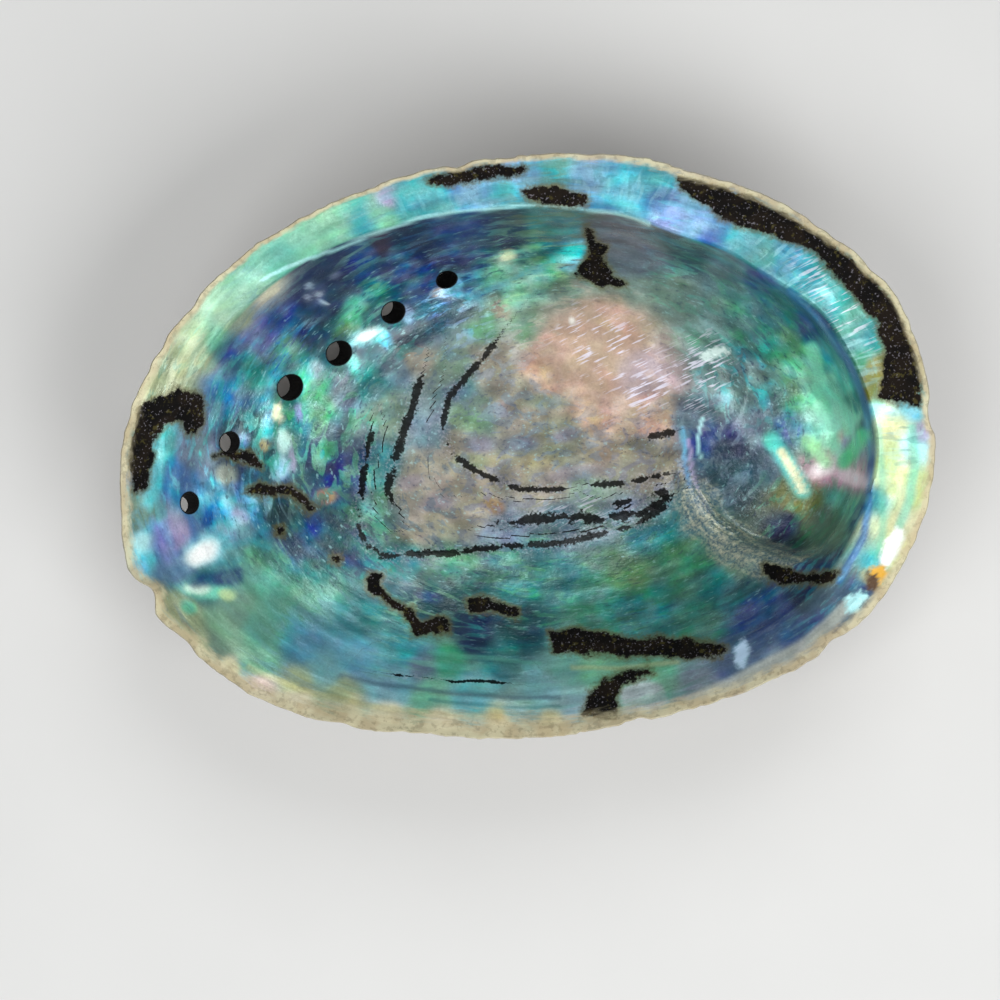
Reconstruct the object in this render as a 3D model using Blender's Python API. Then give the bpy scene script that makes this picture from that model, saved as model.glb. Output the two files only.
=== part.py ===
"""An abalone shell lying on its back, open side up, as one solid.

X runs along the shell, with the spire at +X and the youngest hole at -X. Y runs across it, with the
row of holes and the nacre shelf at +Y and the thin outer lip at -Y. Z is up, and Z = 0 is the surface
that the worn crest of the back rests on. The origin is under the middle of the rim.

All sizes are in millimetres. The finished mesh is scaled to metres in one place, MM.
"""

import math

import bmesh
import bpy
import numpy as np
from mathutils import Matrix, Vector

MM = 0.001

# Driving dimensions of the whole shell
HALF_LENGTH = 66.6
HALF_WIDTH = 47.7
RIM_EDGE = 1.7
RIM_BULGE = 0.3
FLOOR_WALL = 3.6
BOWL_CENTRE = (7.0, 1.5)

# The plan outline: squarer along the lip than along the shelf
LIP_SQUARENESS = 2.28
SHELF_SQUARENESS = 1.97

# Swells and dips of the rim, each as angle and half width in degrees, and height in millimetres
RIM_SWELLS = [
    (192, 9, 2.1),
    (244, 13, -1.1),
    (326, 18, 1.6),
    (353, 10, 1.1),
    (18, 9, 1.9),
    (38, 10, 1.0),
    (62, 8, 0.8),
    (115, 12, -0.2),
    (160, 8, -0.5),
]

# Chips broken from the rim, in the same form: the first is the half open youngest hole
RIM_CHIPS = [
    (194.5, 2.3, -2.4),
    (203.0, 2.2, -0.6),
    (150.5, 2.0, -0.5),
    (96.0, 1.8, -0.7),
    (86.0, 1.8, -0.6),
    (20.5, 2.0, -0.7),
    (358.0, 2.2, -0.9),
    (321.5, 1.9, -0.8),
    (286.0, 2.0, -0.8),
    (230.0, 2.0, -0.6),
]

# Where the chips begin, as a share of the way over the shelf and out along the back
CHIPS_FROM_SHELF = 0.3
CHIPS_FROM_BACK = 0.86

# Stations round the rim, each as angle in degrees and value
RIM_HEIGHT = [(0, 33.5), (50, 34.6), (100, 34.0), (150, 31.0), (190, 28.0), (240, 28.5), (290, 29.0), (330, 31.0)]
SHELF_WIDTH = [(-25, 9.0), (0, 9.5), (20, 11.5), (40, 11.0), (60, 9.4), (100, 7.8), (130, 6.6), (150, 7.0),
               (190, 8.0), (240, 7.0), (290, 7.0)]
# One where the shelf stands clear of the wall, and none where the lip simply flares
SHELF_SHARE = [(-48, 0.0), (-24, 0.85), (0, 1.0), (120, 1.0), (142, 0.65), (165, 0.0), (200, 0.0), (290, 0.0)]
SHELF_FALL = 1.6
LIP_FLARE_FALL = 5.2
SHELF_CROWN = 0.6
UNDERCUT = [(-40, 0.0), (-15, 2.6), (10, 3.0), (40, 1.4), (75, 0.0), (180, 0.0), (290, 0.0)]

# How suddenly the inner wall rises, and how suddenly the back does
INNER_STEEPNESS = [(-30, 3.4), (0, 4.0), (50, 4.8), (100, 5.0), (140, 3.7), (180, 2.8), (230, 2.45), (290, 2.4)]
OUTER_STEEPNESS = [(-30, 3.1), (0, 3.6), (50, 4.3), (100, 4.3), (140, 3.25), (180, 2.6), (230, 2.3), (290, 2.25)]
INNER_CROWN = 2.4
OUTER_CROWN = 2.4
REST_CUT = 0.3

# The spire: a pit under the shelf, with a knob behind it on the back
PIT_CENTRE = (43.5, -9.0)
PIT_REACH = 16.8
PIT_LOW = (28.0, 5.2)
PIT_HIGH = (54.0, 9.5)
PIT_OPEN_SIDE = 80
PIT_OPENING = 0.35
PIT_RISE = 0.3
SPIRE_APEX = (51.0, -10.0)
KNOB_CENTRE = (47.5, -10.5)
KNOB_REACH = 20.5
KNOB_FLOOR = 4.4
SUTURE_PITCH = 0.30
SUTURE_DEPTH = 0.9

# The fold that runs round the pit, as points in plan, with its height and half width
PIT_FOLD = [(25.6, 5.8), (27.0, -1.5), (28.6, -9.0), (31.5, -16.6), (36.5, -22.2), (43.0, -25.4),
            (49.5, -25.6), (54.5, -22.0)]
PIT_FOLD_HEIGHT = 1.8
PIT_FOLD_WIDTH = 2.4

# The muscle scar: a low, rough table in the middle of the bowl, stepped along old growth stops
SCAR_CENTRE = (4.0, 6.5)
SCAR_REACH = (27.0, 17.5)
SCAR_TURN = 14
SCAR_HEIGHT = 1.1

# Holes through the wall, from youngest to oldest, each as point on the nacre and bore, and those since sealed
HOLES = [
    (-56.8, -2.5, 20.6, 3.4),
    (-49.5, 7.0, 16.0, 3.4),
    (-38.5, 15.4, 12.3, 4.2),
    (-29.5, 20.4, 10.4, 4.1),
    (-19.4, 26.4, 9.9, 3.8),
    (-9.5, 30.9, 11.0, 3.3),
]
SEALED_HOLES = [(2.9, 34.0), (14.5, 34.8), (25.5, 32.0), (35.0, 27.0), (43.0, 20.5)]
HOLE_LEAN = 37
HOLE_SHIFT = 3.8
HOLE_DEPTH = 30
HOLE_TAPER = (0.44, 0.58)
FUNNEL_DEPTH = 0.9
FUNNEL_REACH = 3.8
CHIMNEY_HEIGHT = 1.7
CHIMNEY_REACH = 4.4
SEALED_STRENGTH = 0.7
KEEL_HEIGHT = 0.9
KEEL_REACH = 7.0
CHANNEL_DEPTH = 0.4

# Growth folds and spiral cords on the back
FOLD_COUNT = 8
FOLD_HEIGHT = 0.6
CORD_COUNT = 20
CORD_HEIGHT = 0.3
SPIRAL_PITCH = 0.62

# Mesh density
SPOKES = 104
WALL_RINGS = 18
SHELF_RINGS = 5
WALL_SHARE = 0.80
PROBE = 0.004

PEARL = (0.20, 0.42, 0.40, 1.0)


def around(angle, stations):
    """The value at these angles, in radians, on a smooth closed curve through the stations."""
    at = np.array([station[0] % 360 for station in stations], float)
    value = np.array([station[1] for station in stations], float)
    order = np.argsort(at)
    at = at[order]
    value = value[order]
    at = np.concatenate([at[-2:] - 360, at, at[:2] + 360])
    value = np.concatenate([value[-2:], value, value[:2]])
    slope = np.gradient(value, at)
    degrees = np.degrees(angle) % 360
    i = np.clip(np.searchsorted(at, degrees, side="right") - 1, 1, len(at) - 3)
    span = at[i + 1] - at[i]
    u = (degrees - at[i]) / span
    rise = u * u * (3 - 2 * u)
    start = u * (1 - u) ** 2
    end = -u * u * (1 - u)
    return (1 - rise) * value[i] + rise * value[i + 1] + span * (start * slope[i] + end * slope[i + 1])


def bell(distance):
    """One at no distance, falling smoothly to none at a distance of one."""
    return (1 - np.clip(np.abs(distance), 0, 1) ** 2) ** 2


def step(value, low, high):
    """A smooth rise from none at low to one at high."""
    t = np.clip((value - low) / (high - low), 0, 1)
    return t * t * (3 - 2 * t)


def turn_between(angle, degrees):
    """The difference from a direction in degrees to an angle in radians, as signed degrees."""
    return (np.degrees(angle) - degrees + 180) % 360 - 180


def outline(angle):
    """The whole rim's distance from the origin at these angles, without its chips."""
    side = step(np.sin(angle), -0.25, 0.25)
    power = LIP_SQUARENESS + (SHELF_SQUARENESS - LIP_SQUARENESS) * side
    along = np.abs(np.cos(angle) / HALF_LENGTH) ** power
    across = np.abs(np.sin(angle) / HALF_WIDTH) ** power
    reach = (along + across) ** (-1 / power)
    for at, half_width, height in RIM_SWELLS:
        reach = reach + height * np.exp(-((turn_between(angle, at) / half_width) ** 2))
    return reach


def chipped(angle):
    """How far out from the whole rim the chipped one lies, which is below nothing at a chip."""
    away = 0
    for at, half_width, height in RIM_CHIPS:
        away = away + height * np.exp(-((turn_between(angle, at) / half_width) ** 2))
    return away


def rim_angle(turn):
    """The direction of the rim point at an eccentric angle, which spaces points well at both ends."""
    return np.arctan2(HALF_WIDTH * np.sin(turn), HALF_LENGTH * np.cos(turn))


def path_distance(x, y, path):
    """The distance to a path in plan, and how far along it the nearest point lies, from 0 to 1."""
    best = np.full(np.shape(x), np.inf)
    along = np.zeros(np.shape(x))
    for i, (start, end) in enumerate(zip(path[:-1], path[1:])):
        dx = end[0] - start[0]
        dy = end[1] - start[1]
        t = np.clip(((x - start[0]) * dx + (y - start[1]) * dy) / (dx * dx + dy * dy), 0, 1)
        distance = np.hypot(x - start[0] - t * dx, y - start[1] - t * dy)
        nearer = distance < best
        best = np.where(nearer, distance, best)
        along = np.where(nearer, (i + t) / (len(path) - 1), along)
    return best, along


def from_apex(x, y):
    """Distance and direction from the spire's apex in plan."""
    dx = x - SPIRE_APEX[0]
    dy = y - SPIRE_APEX[1]
    return np.maximum(np.hypot(dx, dy), 0.8), np.arctan2(dy, dx)


def growth(x, y):
    """How far out from the apex a point lies, from 0 to 1 at the rim, and the rim's distance that way."""
    reach, direction = from_apex(x, y)
    angle = np.linspace(0, 2 * math.pi, 721)
    rim_reach, rim_direction = from_apex(outline(angle) * np.cos(angle), outline(angle) * np.sin(angle))
    order = np.argsort(rim_direction)
    limit = np.interp(direction, rim_direction[order], rim_reach[order], period=2 * math.pi)
    return reach / limit, limit


def spoke(turn):
    """The rim's direction and, from the bowl's centre, the way to the whole rim and its distance in plan."""
    angle = rim_angle(turn)
    reach = outline(angle)
    dx = reach * np.cos(angle) - BOWL_CENTRE[0]
    dy = reach * np.sin(angle) - BOWL_CENTRE[1]
    length = np.hypot(dx, dy)
    return angle, dx / length, dy / length, length


def pit(x, y, height):
    """The bowl's height with the spire's pit sunk in it."""
    dx = x - PIT_CENTRE[0]
    dy = y - PIT_CENTRE[1]
    open_side = bell(turn_between(np.arctan2(dy, dx), PIT_OPEN_SIDE) / 95)
    distance = np.hypot(dx, dy) / (PIT_REACH * (1 + PIT_OPENING * open_side))
    share = np.clip((x - PIT_LOW[0]) / (PIT_HIGH[0] - PIT_LOW[0]), 0, 1.2)
    floor = PIT_LOW[1] + (PIT_HIGH[1] - PIT_LOW[1]) * share + PIT_RISE * np.maximum(y + 3, 0)
    return height + np.minimum(floor - height, 0) * step(1 - distance, 0.0, 0.34)


def nacre_base(turn, share):
    """The nacre side without its relief: share runs from 0 at the bowl's centre to 1 at the rim."""
    angle, out_x, out_y, length = spoke(turn)
    width = around(angle, SHELF_WIDTH)
    ledge = np.clip(around(angle, SHELF_SHARE), 0, 1)
    rim_height = around(angle, RIM_HEIGHT)
    edge_height = rim_height - (SHELF_FALL * ledge + LIP_FLARE_FALL * (1 - ledge))
    up_wall = np.clip(share / WALL_SHARE, 0, 1)
    over_shelf = np.clip((share - WALL_SHARE) / (1 - WALL_SHARE), 0, 1)
    wall = FLOOR_WALL + INNER_CROWN * up_wall**2
    wall = wall + (edge_height - FLOOR_WALL - INNER_CROWN) * up_wall ** around(angle, INNER_STEEPNESS)
    undercut = np.clip(around(angle, UNDERCUT), 0, None) * bell((up_wall - 0.88) / 0.11)
    reach = (length - width) * up_wall + width * over_shelf + undercut
    reach = reach + chipped(angle) * step(over_shelf, CHIPS_FROM_SHELF, 1)
    x = BOWL_CENTRE[0] + out_x * reach
    y = BOWL_CENTRE[1] + out_y * reach
    z = wall + (1 - up_wall**14) * (pit(x, y, wall) - wall)
    z = z + (rim_height - edge_height) * over_shelf + SHELF_CROWN * ledge * np.sin(math.pi * over_shelf)
    return np.stack([x, y, z], -1)


def back_base(turn, share):
    """The back without its relief: share runs from 0 at the crest to 1 at the rim's lower edge."""
    angle, out_x, out_y, length = spoke(turn)
    low_edge = around(angle, RIM_HEIGHT) - RIM_EDGE
    reach = length * share + chipped(angle) * step(share, CHIPS_FROM_BACK, 1)
    x = BOWL_CENTRE[0] + out_x * reach
    y = BOWL_CENTRE[1] + out_y * reach
    z = OUTER_CROWN * share**2 + (low_edge - OUTER_CROWN) * share ** around(angle, OUTER_STEEPNESS)
    swell = step(1 - np.hypot(x - KNOB_CENTRE[0], y - KNOB_CENTRE[1]) / KNOB_REACH, 0.0, 0.75)
    return np.stack([x, y, z + np.minimum(KNOB_FLOOR - z, 0) * swell * (1 - share**10)], -1)


def normals(surface, turn, share):
    """The surface's unit normals, on the side that faces up where the surface is the nacre side."""
    share = np.clip(share, 3 * PROBE, 1 - PROBE)
    sideways = surface(turn + PROBE, share) - surface(turn - PROBE, share)
    outward = surface(turn, share + PROBE) - surface(turn, share - PROBE)
    normal = np.cross(outward, sideways)
    return normal / np.linalg.norm(normal, axis=-1, keepdims=True)


def out_from_bowl(x, y):
    """The level direction in which a hole at this plan point leans."""
    return Vector((x - BOWL_CENTRE[0], y - BOWL_CENTRE[1], 0)).normalized()


def at_holes(x, y, shift, reach, height, row_reach, row_height):
    """A low swell along the row of holes, with a bump at each open hole and a lower one at each sealed one."""
    row = []
    for place in HOLES + SEALED_HOLES:
        away = out_from_bowl(place[0], place[1])
        row.append((place[0] + shift * away.x, place[1] + shift * away.y))
    distance, along = path_distance(x, y, row)
    total = row_height * bell(distance / row_reach) * (1 - step(along, 0.8, 1.0))
    for i, place in enumerate(row):
        strength = 1 if i < len(HOLES) else SEALED_STRENGTH
        total = total + strength * height * bell(np.hypot(x - place[0], y - place[1]) / reach)
    return total


def pit_fold(x, y):
    """The raised fold round the pit, strongest where it turns under the shelf."""
    distance, along = path_distance(x, y, PIT_FOLD)
    strength = step(along, 0.0, 0.2) * (0.7 + 0.3 * along) * (1 - step(along, 0.93, 1.0))
    return PIT_FOLD_HEIGHT * strength * np.exp(-((distance / PIT_FOLD_WIDTH) ** 2))


def scar(x, y):
    """The raised muscle scar, with two terraces."""
    turn = math.radians(SCAR_TURN)
    dx = x - SCAR_CENTRE[0]
    dy = y - SCAR_CENTRE[1]
    along = np.abs(dx * math.cos(turn) + dy * math.sin(turn)) / SCAR_REACH[0]
    across = np.abs(dy * math.cos(turn) - dx * math.sin(turn)) / SCAR_REACH[1]
    distance = (along**2.6 + across**2.6) ** (1 / 2.6)
    return SCAR_HEIGHT * (0.55 * step(1.28 - distance, 0, 0.2) + 0.45 * step(0.95 - distance, 0, 0.16))


def nacre_relief(x, y, share):
    """The nacre side's relief, measured out from the wall."""
    fade = 1 - (np.clip(share, 0, WALL_SHARE) / WALL_SHARE) ** 14
    holes = at_holes(x, y, 0, FUNNEL_REACH, FUNNEL_DEPTH, KEEL_REACH, CHANNEL_DEPTH)
    return fade * (pit_fold(x, y) + scar(x, y) - holes)


def back_relief(x, y, share):
    """The back's relief, measured out from the wall: folds, cords, chimneys and the spire's suture."""
    reach, direction = from_apex(x, y)
    grown, limit = growth(x, y)
    away = step(reach, 12, 30) * step(limit, 22, 60)
    folds = FOLD_HEIGHT * np.sin(2 * math.pi * FOLD_COUNT * grown**1.3)
    cords = CORD_HEIGHT * np.cos(CORD_COUNT * (direction - np.log(reach) / SPIRAL_PITCH))
    coil = direction - np.log(reach) / SUTURE_PITCH
    suture = SUTURE_DEPTH * np.exp((np.cos(coil) - 1) / 0.22) * step(reach, 1.5, 6) * (1 - step(reach, 16, 28))
    holes = at_holes(x, y, HOLE_SHIFT, CHIMNEY_REACH, CHIMNEY_HEIGHT, KEEL_REACH, KEEL_HEIGHT)
    relief = (folds + cords) * away - suture + holes
    return relief * (1 - step(share, 0.88, 1.0))


def nacre_point(turn, share):
    """A point of the nacre side."""
    base = nacre_base(turn, share)
    relief = nacre_relief(base[..., 0], base[..., 1], share)
    return base + normals(nacre_base, turn, share) * relief[..., None]


def back_point(turn, share):
    """A point of the back, cut level where its worn crest lies on a table."""
    base = back_base(turn, share)
    relief = back_relief(base[..., 0], base[..., 1], share)
    point = base - normals(back_base, turn, share) * relief[..., None]
    point[..., 2] = np.maximum(point[..., 2] - REST_CUT, 0)
    return point


def rim_point(turn):
    """The middle of the rim's edge."""
    angle, out_x, out_y, length = spoke(turn)
    reach = length + RIM_BULGE + chipped(angle)
    x = BOWL_CENTRE[0] + out_x * reach
    y = BOWL_CENTRE[1] + out_y * reach
    return np.stack([x, y, around(angle, RIM_HEIGHT) - RIM_EDGE / 2], -1)


def nacre_share(ring):
    """The shares of the nacre side's rings, closer together towards the shelf's edge."""
    up_wall = np.clip(ring / WALL_RINGS, 0, 1)
    over_shelf = np.clip((ring - WALL_RINGS) / SHELF_RINGS, 0, 1)
    return WALL_SHARE * up_wall * (1.25 - 0.25 * up_wall) + (1 - WALL_SHARE) * over_shelf


def shell_body(collection):
    """A sphere whose upper half becomes the nacre side, and whose lower half becomes the back."""
    rings = WALL_RINGS + SHELF_RINGS
    bm = bmesh.new()
    bmesh.ops.create_uvsphere(bm, u_segments=SPOKES, v_segments=2 * rings, radius=1)
    at = np.array([vertex.co for vertex in bm.verts])
    turn = np.arctan2(at[:, 1], at[:, 0])
    ring = np.round(np.degrees(np.arccos(np.clip(np.abs(at[:, 2]), 0, 1))) / 90 * rings)
    upper = (at[:, 2] > 0)[:, None]
    edge = (ring == rings)[:, None]
    placed = np.where(upper, nacre_point(turn, nacre_share(ring)), back_point(turn, ring / rings))
    placed = np.where(edge, rim_point(turn), placed)
    for vertex, place in zip(bm.verts, placed):
        vertex.co = Vector(place) * MM
    mesh = bpy.data.meshes.new("shell")
    bm.to_mesh(mesh)
    bm.free()
    shell = bpy.data.objects.new("shell", mesh)
    collection.objects.link(shell)
    return shell


def hole_cutters(collection):
    """Six tapered pins, each leaning out from the bowl, that cut the open holes."""
    bm = bmesh.new()
    for x, y, z, bore in HOLES:
        lean = Matrix.Rotation(math.radians(HOLE_LEAN), 4, out_from_bowl(x, y).cross(Vector((0, 0, 1))))
        middle = Vector((x, y, z)) * MM
        bmesh.ops.create_cone(
            bm,
            cap_ends=True,
            segments=14,
            radius1=HOLE_TAPER[0] * bore * MM,
            radius2=HOLE_TAPER[1] * bore * MM,
            depth=HOLE_DEPTH * MM,
            matrix=Matrix.Translation(middle) @ lean,
        )
    mesh = bpy.data.meshes.new("hole_cutters")
    bm.to_mesh(mesh)
    bm.free()
    cutters = bpy.data.objects.new("hole_cutters", mesh)
    cutters.hide_render = True
    cutters.display_type = "WIRE"
    collection.objects.link(cutters)
    return cutters


def pearl():
    """Blue green nacre."""
    material = bpy.data.materials.new("nacre")
    material.use_nodes = True
    shader = material.node_tree.nodes["Principled BSDF"]
    shader.inputs["Base Color"].default_value = PEARL
    shader.inputs["Roughness"].default_value = 0.3
    shader.inputs["Metallic"].default_value = 0.35
    return material


def main():
    for old in list(bpy.data.objects):
        bpy.data.objects.remove(old)
    parts = bpy.data.collections.new("abalone_shell")
    helpers = bpy.data.collections.new("cutters")
    bpy.context.scene.collection.children.link(parts)
    bpy.context.scene.collection.children.link(helpers)
    shell = shell_body(parts)
    shell.data.materials.append(pearl())
    cut = shell.modifiers.new("holes", "BOOLEAN")
    cut.operation = "DIFFERENCE"
    cut.solver = "EXACT"
    cut.object = hole_cutters(helpers)
    shell.data.shade_smooth()
    shell.data.set_sharp_from_angle(angle=math.radians(50))


main()
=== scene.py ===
"""The look of an abalone shell lying open side up: its relief, its nacre and its rough back.

The shell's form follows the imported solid's driving sizes, at a finer pitch and with the fine relief added.
X runs along the shell towards the spire, Y towards the shelf and the row of holes, and Z is up.
Sizes are in millimetres, and MM turns them into metres. Marks on the nacre are placed by where they lie
in the photograph, in pixels of its 1000 by 1000 frame, seen from the camera below.
"""

import math
from types import SimpleNamespace

import bmesh
import bpy
import numpy as np
from mathutils import Matrix, Vector, noise


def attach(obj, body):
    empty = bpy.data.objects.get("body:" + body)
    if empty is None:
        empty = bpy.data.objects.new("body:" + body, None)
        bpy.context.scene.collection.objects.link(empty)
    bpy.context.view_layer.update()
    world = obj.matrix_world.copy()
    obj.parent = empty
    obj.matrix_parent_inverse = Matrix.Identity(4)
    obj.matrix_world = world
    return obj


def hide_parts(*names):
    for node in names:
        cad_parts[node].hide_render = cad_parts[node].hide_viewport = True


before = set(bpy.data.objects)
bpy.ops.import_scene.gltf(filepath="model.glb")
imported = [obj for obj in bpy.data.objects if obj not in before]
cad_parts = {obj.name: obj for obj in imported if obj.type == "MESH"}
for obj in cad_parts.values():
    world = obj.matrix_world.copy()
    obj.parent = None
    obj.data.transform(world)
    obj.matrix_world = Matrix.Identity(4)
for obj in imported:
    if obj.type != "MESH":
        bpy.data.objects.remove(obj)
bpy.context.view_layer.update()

MM = 0.001
FAR = 99.0

# The camera looks straight down from here, turned by this much about the vertical
CAMERA_AT = (-4.62, -8.04, 480.0)
CAMERA_TURN = 6.6
LENS = 97.94
SENSOR = 36.0
IMAGE = 1000

# Driving dimensions of the whole shell
HALF_LENGTH = 66.6
HALF_WIDTH = 47.7
RIM_EDGE = 1.7
RIM_BULGE = 0.3
FLOOR_WALL = 3.6
BOWL_CENTRE = (7.0, 1.5)
LIP_SQUARENESS = 2.28
SHELF_SQUARENESS = 1.97
SIDE_BLEND = 0.25

# Swells and dips of the rim, each as angle and half width in degrees, and height in millimetres
RIM_SWELLS = [
    (192, 9, 2.1), (244, 13, -1.1), (326, 18, 1.6), (353, 10, 1.1), (18, 9, 1.9), (38, 10, 1.0),
    (62, 8, 0.8), (115, 12, -0.2), (160, 8, -0.5),
]

# Chips broken from the rim, in the same form: the first is the half open youngest hole
RIM_CHIPS = [
    (194.5, 2.3, -2.4), (203.0, 2.2, -0.6), (150.5, 2.0, -0.5), (96.0, 1.8, -0.7), (86.0, 1.8, -0.6),
    (20.5, 2.0, -0.7), (358.0, 2.2, -0.9), (321.5, 1.9, -0.8), (286.0, 2.0, -0.8), (230.0, 2.0, -0.6),
]

# Where the chips begin, as a share of the way over the shelf and out along the back
CHIPS_FROM_SHELF = 0.3
CHIPS_FROM_BACK = 0.86

# The rim's finer raggedness, as layers of noise, each with its lump size, seed and strength
RIM_TEARS = [(5.0, 13.0, 1.0), (1.9, 17.0, 0.8), (0.9, 19.0, 0.4)]

# Stations round the rim, each as angle in degrees and value
RIM_HEIGHT = [
    (0, 33.5), (50, 34.6), (100, 34.0), (150, 31.0), (190, 28.0), (240, 28.5), (290, 29.0), (330, 31.0)
]
SHELF_WIDTH = [
    (-25, 9.0), (0, 9.5), (20, 11.5), (40, 11.0), (60, 9.4), (100, 7.8), (130, 6.6), (150, 7.0),
    (190, 8.0), (240, 7.0), (290, 7.0)
]
SHELF_SHARE = [
    (-48, 0.0), (-24, 0.85), (0, 1.0), (120, 1.0), (142, 0.65), (165, 0.0), (200, 0.0), (290, 0.0)
]
SHELF_FALL = 1.6
LIP_FLARE_FALL = 5.2
SHELF_CROWN = 0.6
UNDERCUT = [(-40, 0.0), (-15, 2.6), (10, 3.0), (40, 1.4), (75, 0.0), (180, 0.0), (290, 0.0)]
UNDERCUT_AT = 0.88
UNDERCUT_SPREAD = 0.11
INNER_STEEPNESS = [
    (-30, 3.4), (0, 4.0), (50, 4.8), (100, 5.0), (140, 3.7), (180, 2.8), (230, 2.45), (290, 2.4)
]
OUTER_STEEPNESS = [
    (-30, 3.1), (0, 3.6), (50, 4.3), (100, 4.3), (140, 3.25), (180, 2.6), (230, 2.3), (290, 2.25)
]
INNER_CROWN = 2.4
OUTER_CROWN = 2.4
REST_CUT = 0.3

# The powers with which the relief of the wall and of the knob die away towards the rim
WALL_FADE = 14
BACK_FADE = 10

# The spire: a pit under the shelf, with a knob behind it on the back
PIT_CENTRE = (43.5, -9.0)
PIT_REACH = 16.8
PIT_LOW = (28.0, 5.2)
PIT_HIGH = (54.0, 9.5)
PIT_SOFTNESS = 0.34
PIT_SHARE_LIMIT = 1.2
PIT_OPEN_SIDE = 80
PIT_OPEN_SPREAD = 95
PIT_OPENING = 0.35
PIT_RISE = 0.3
PIT_RISE_FROM = -3
SPIRE_APEX = (51.0, -10.0)
APEX_NEAREST = 0.8
KNOB_CENTRE = (47.5, -10.5)
KNOB_REACH = 20.5
KNOB_FLOOR = 4.4
KNOB_SOFTNESS = 0.75
SUTURE_PITCH = 0.30
SUTURE_DEPTH = 0.9
SUTURE_WIDTH = 0.22
SUTURE_FROM = (1.5, 6)
SUTURE_TO = (16, 28)

# The fold that runs round the pit, as points in plan, with its height and half width
PIT_FOLD = [
    (25.6, 5.8), (27.0, -1.5), (28.6, -9.0), (31.5, -16.6), (36.5, -22.2), (43.0, -25.4),
    (49.5, -25.6), (54.5, -22.0)
]
PIT_FOLD_HEIGHT = 1.8
PIT_FOLD_WIDTH = 2.4
PIT_FOLD_START = (0.0, 0.2)
PIT_FOLD_END = (0.93, 1.0)
PIT_FOLD_FIRST = 0.7
THREAD_DEPTH = 0.16
THREAD_PITCH = 0.9

# The muscle scar in the middle of the bowl, with its terraces as share of the height, edge and softness
SCAR_CENTRE = (4.0, 6.5)
SCAR_REACH = (27.0, 17.5)
SCAR_TURN = 14
SCAR_HEIGHT = 1.1
SCAR_SQUARENESS = 2.6
SCAR_TERRACES = [(0.55, 1.28, 0.2), (0.45, 0.95, 0.16)]

# Holes through the wall, from youngest to oldest, each as point on the nacre and bore, and the sealed ones
HOLES = [
    (-56.8, -2.5, 20.6, 3.4), (-49.5, 7.0, 16.0, 3.4), (-38.5, 15.4, 12.3, 4.2), (-29.5, 20.4, 10.4, 4.1),
    (-19.4, 26.4, 9.9, 3.8), (-9.5, 30.9, 11.0, 3.3),
]
SEALED_HOLES = [(2.9, 34.0), (14.5, 34.8), (25.5, 32.0), (35.0, 27.0), (43.0, 20.5)]
HOLE_LEAN = 37
HOLE_SHIFT = 3.8
HOLE_DEPTH = 30
HOLE_TAPER = (0.44, 0.58)
PIN_SIDES = 32
FUNNEL_DEPTH = 0.9
FUNNEL_REACH = 3.8
CHIMNEY_HEIGHT = 1.7
CHIMNEY_REACH = 4.4
SEALED_STRENGTH = 0.7
ROW_END = (0.8, 1.0)
KEEL_HEIGHT = 0.9
KEEL_REACH = 7.0
CHANNEL_DEPTH = 0.4

# Growth folds and spiral cords on the back, with where they begin in millimetres from the apex
FOLD_COUNT = 8
FOLD_HEIGHT = 0.6
FOLD_CROWDING = 1.3
FOLDS_FROM = (12, 30)
FOLDS_WHERE_WIDE = (22, 60)
CORD_COUNT = 20
CORD_HEIGHT = 0.3
SPIRAL_PITCH = 0.62

# Fine relief that only the look has, with where it begins and ends and its layers of noise
RIB_COUNT = 74
RIB_HEIGHT = 0.16
RIBS_FROM = (30, 50)
GROWTH_LINE_HEIGHT = 0.12
GROWTH_LINES = 60
LAMELLA_HEIGHT = 0.22
LAMELLAE = 70
LAMELLAE_FROM = (0.6, 0.9)
LAMELLAE_END = (0.985, 1.0)
BACK_RELIEF_END = (0.88, 1.0)
CRUST_LUMPS = 0.3
CRUST_GRAINS = 0.12
NACRE_RIPPLE = 0.10
RIPPLES = [(2.6, 3.1, 1.0), (1.1, 7.7, 0.5)]
RIPPLE_CLIMB = 1.6
RIPPLE_CALM = 0.6
SCAR_ROUGHNESS = 0.12
SCAR_SKIN = [(1.5, 11.3, 1.0), (0.7, 5.9, 0.6)]
SCAR_SKIN_EDGE = (1.25, 0.15)
RIM_RAGGEDNESS = 0.30

# How noise is drawn out along the growth, round the bowl
FLOW_STRETCH = 13.0
FLOW_CORE = 0.3
FLOW_CLIMB = 0.4

# Colours of the nacre, as red, green and blue from 0 to 255
NAVY = (22, 38, 74)
DEEP_BLUE = (36, 64, 116)
BLUE = (52, 102, 160)
SKY = (98, 152, 192)
CYAN = (70, 190, 212)
TURQUOISE = (56, 148, 160)
TEAL = (36, 108, 114)
DARK_TEAL = (20, 62, 74)
SLATE = (66, 92, 108)
GREY_BLUE = (98, 118, 138)
GREEN = (64, 150, 118)
SEA_GREEN = (82, 158, 140)
MINT = (110, 176, 150)
OLIVE = (108, 116, 56)
GREY_GREEN = (98, 126, 112)
BEIGE_GREEN = (148, 162, 124)
GOLD = (190, 180, 112)
CREAM = (214, 208, 178)
PINK = (214, 160, 166)
PINK_TAN = (170, 144, 120)
TAN = (130, 126, 108)
LILAC = (160, 148, 186)
VIOLET = (76, 76, 138)
PURPLE_BROWN = (52, 40, 60)
PALE_YELLOW = (214, 224, 162)
PALE_CYAN = (170, 226, 228)
WHITE = (236, 244, 240)
BLACK_BROWN = (7, 5, 4)
DARK_BARK = (26, 19, 12)
BARK = (96, 84, 62)
AMBER = (214, 160, 40)
RIM_TAN = (180, 166, 132)
CRUST = (166, 170, 150)
# The pale lilac of the short dashes on the scar, which are painted highlights
DASH_HIGHLIGHT = (216, 212, 228)
GRIT = (170, 166, 176)
INK = (22, 26, 36)
OLIVE_BROWN = (86, 80, 40)
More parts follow.
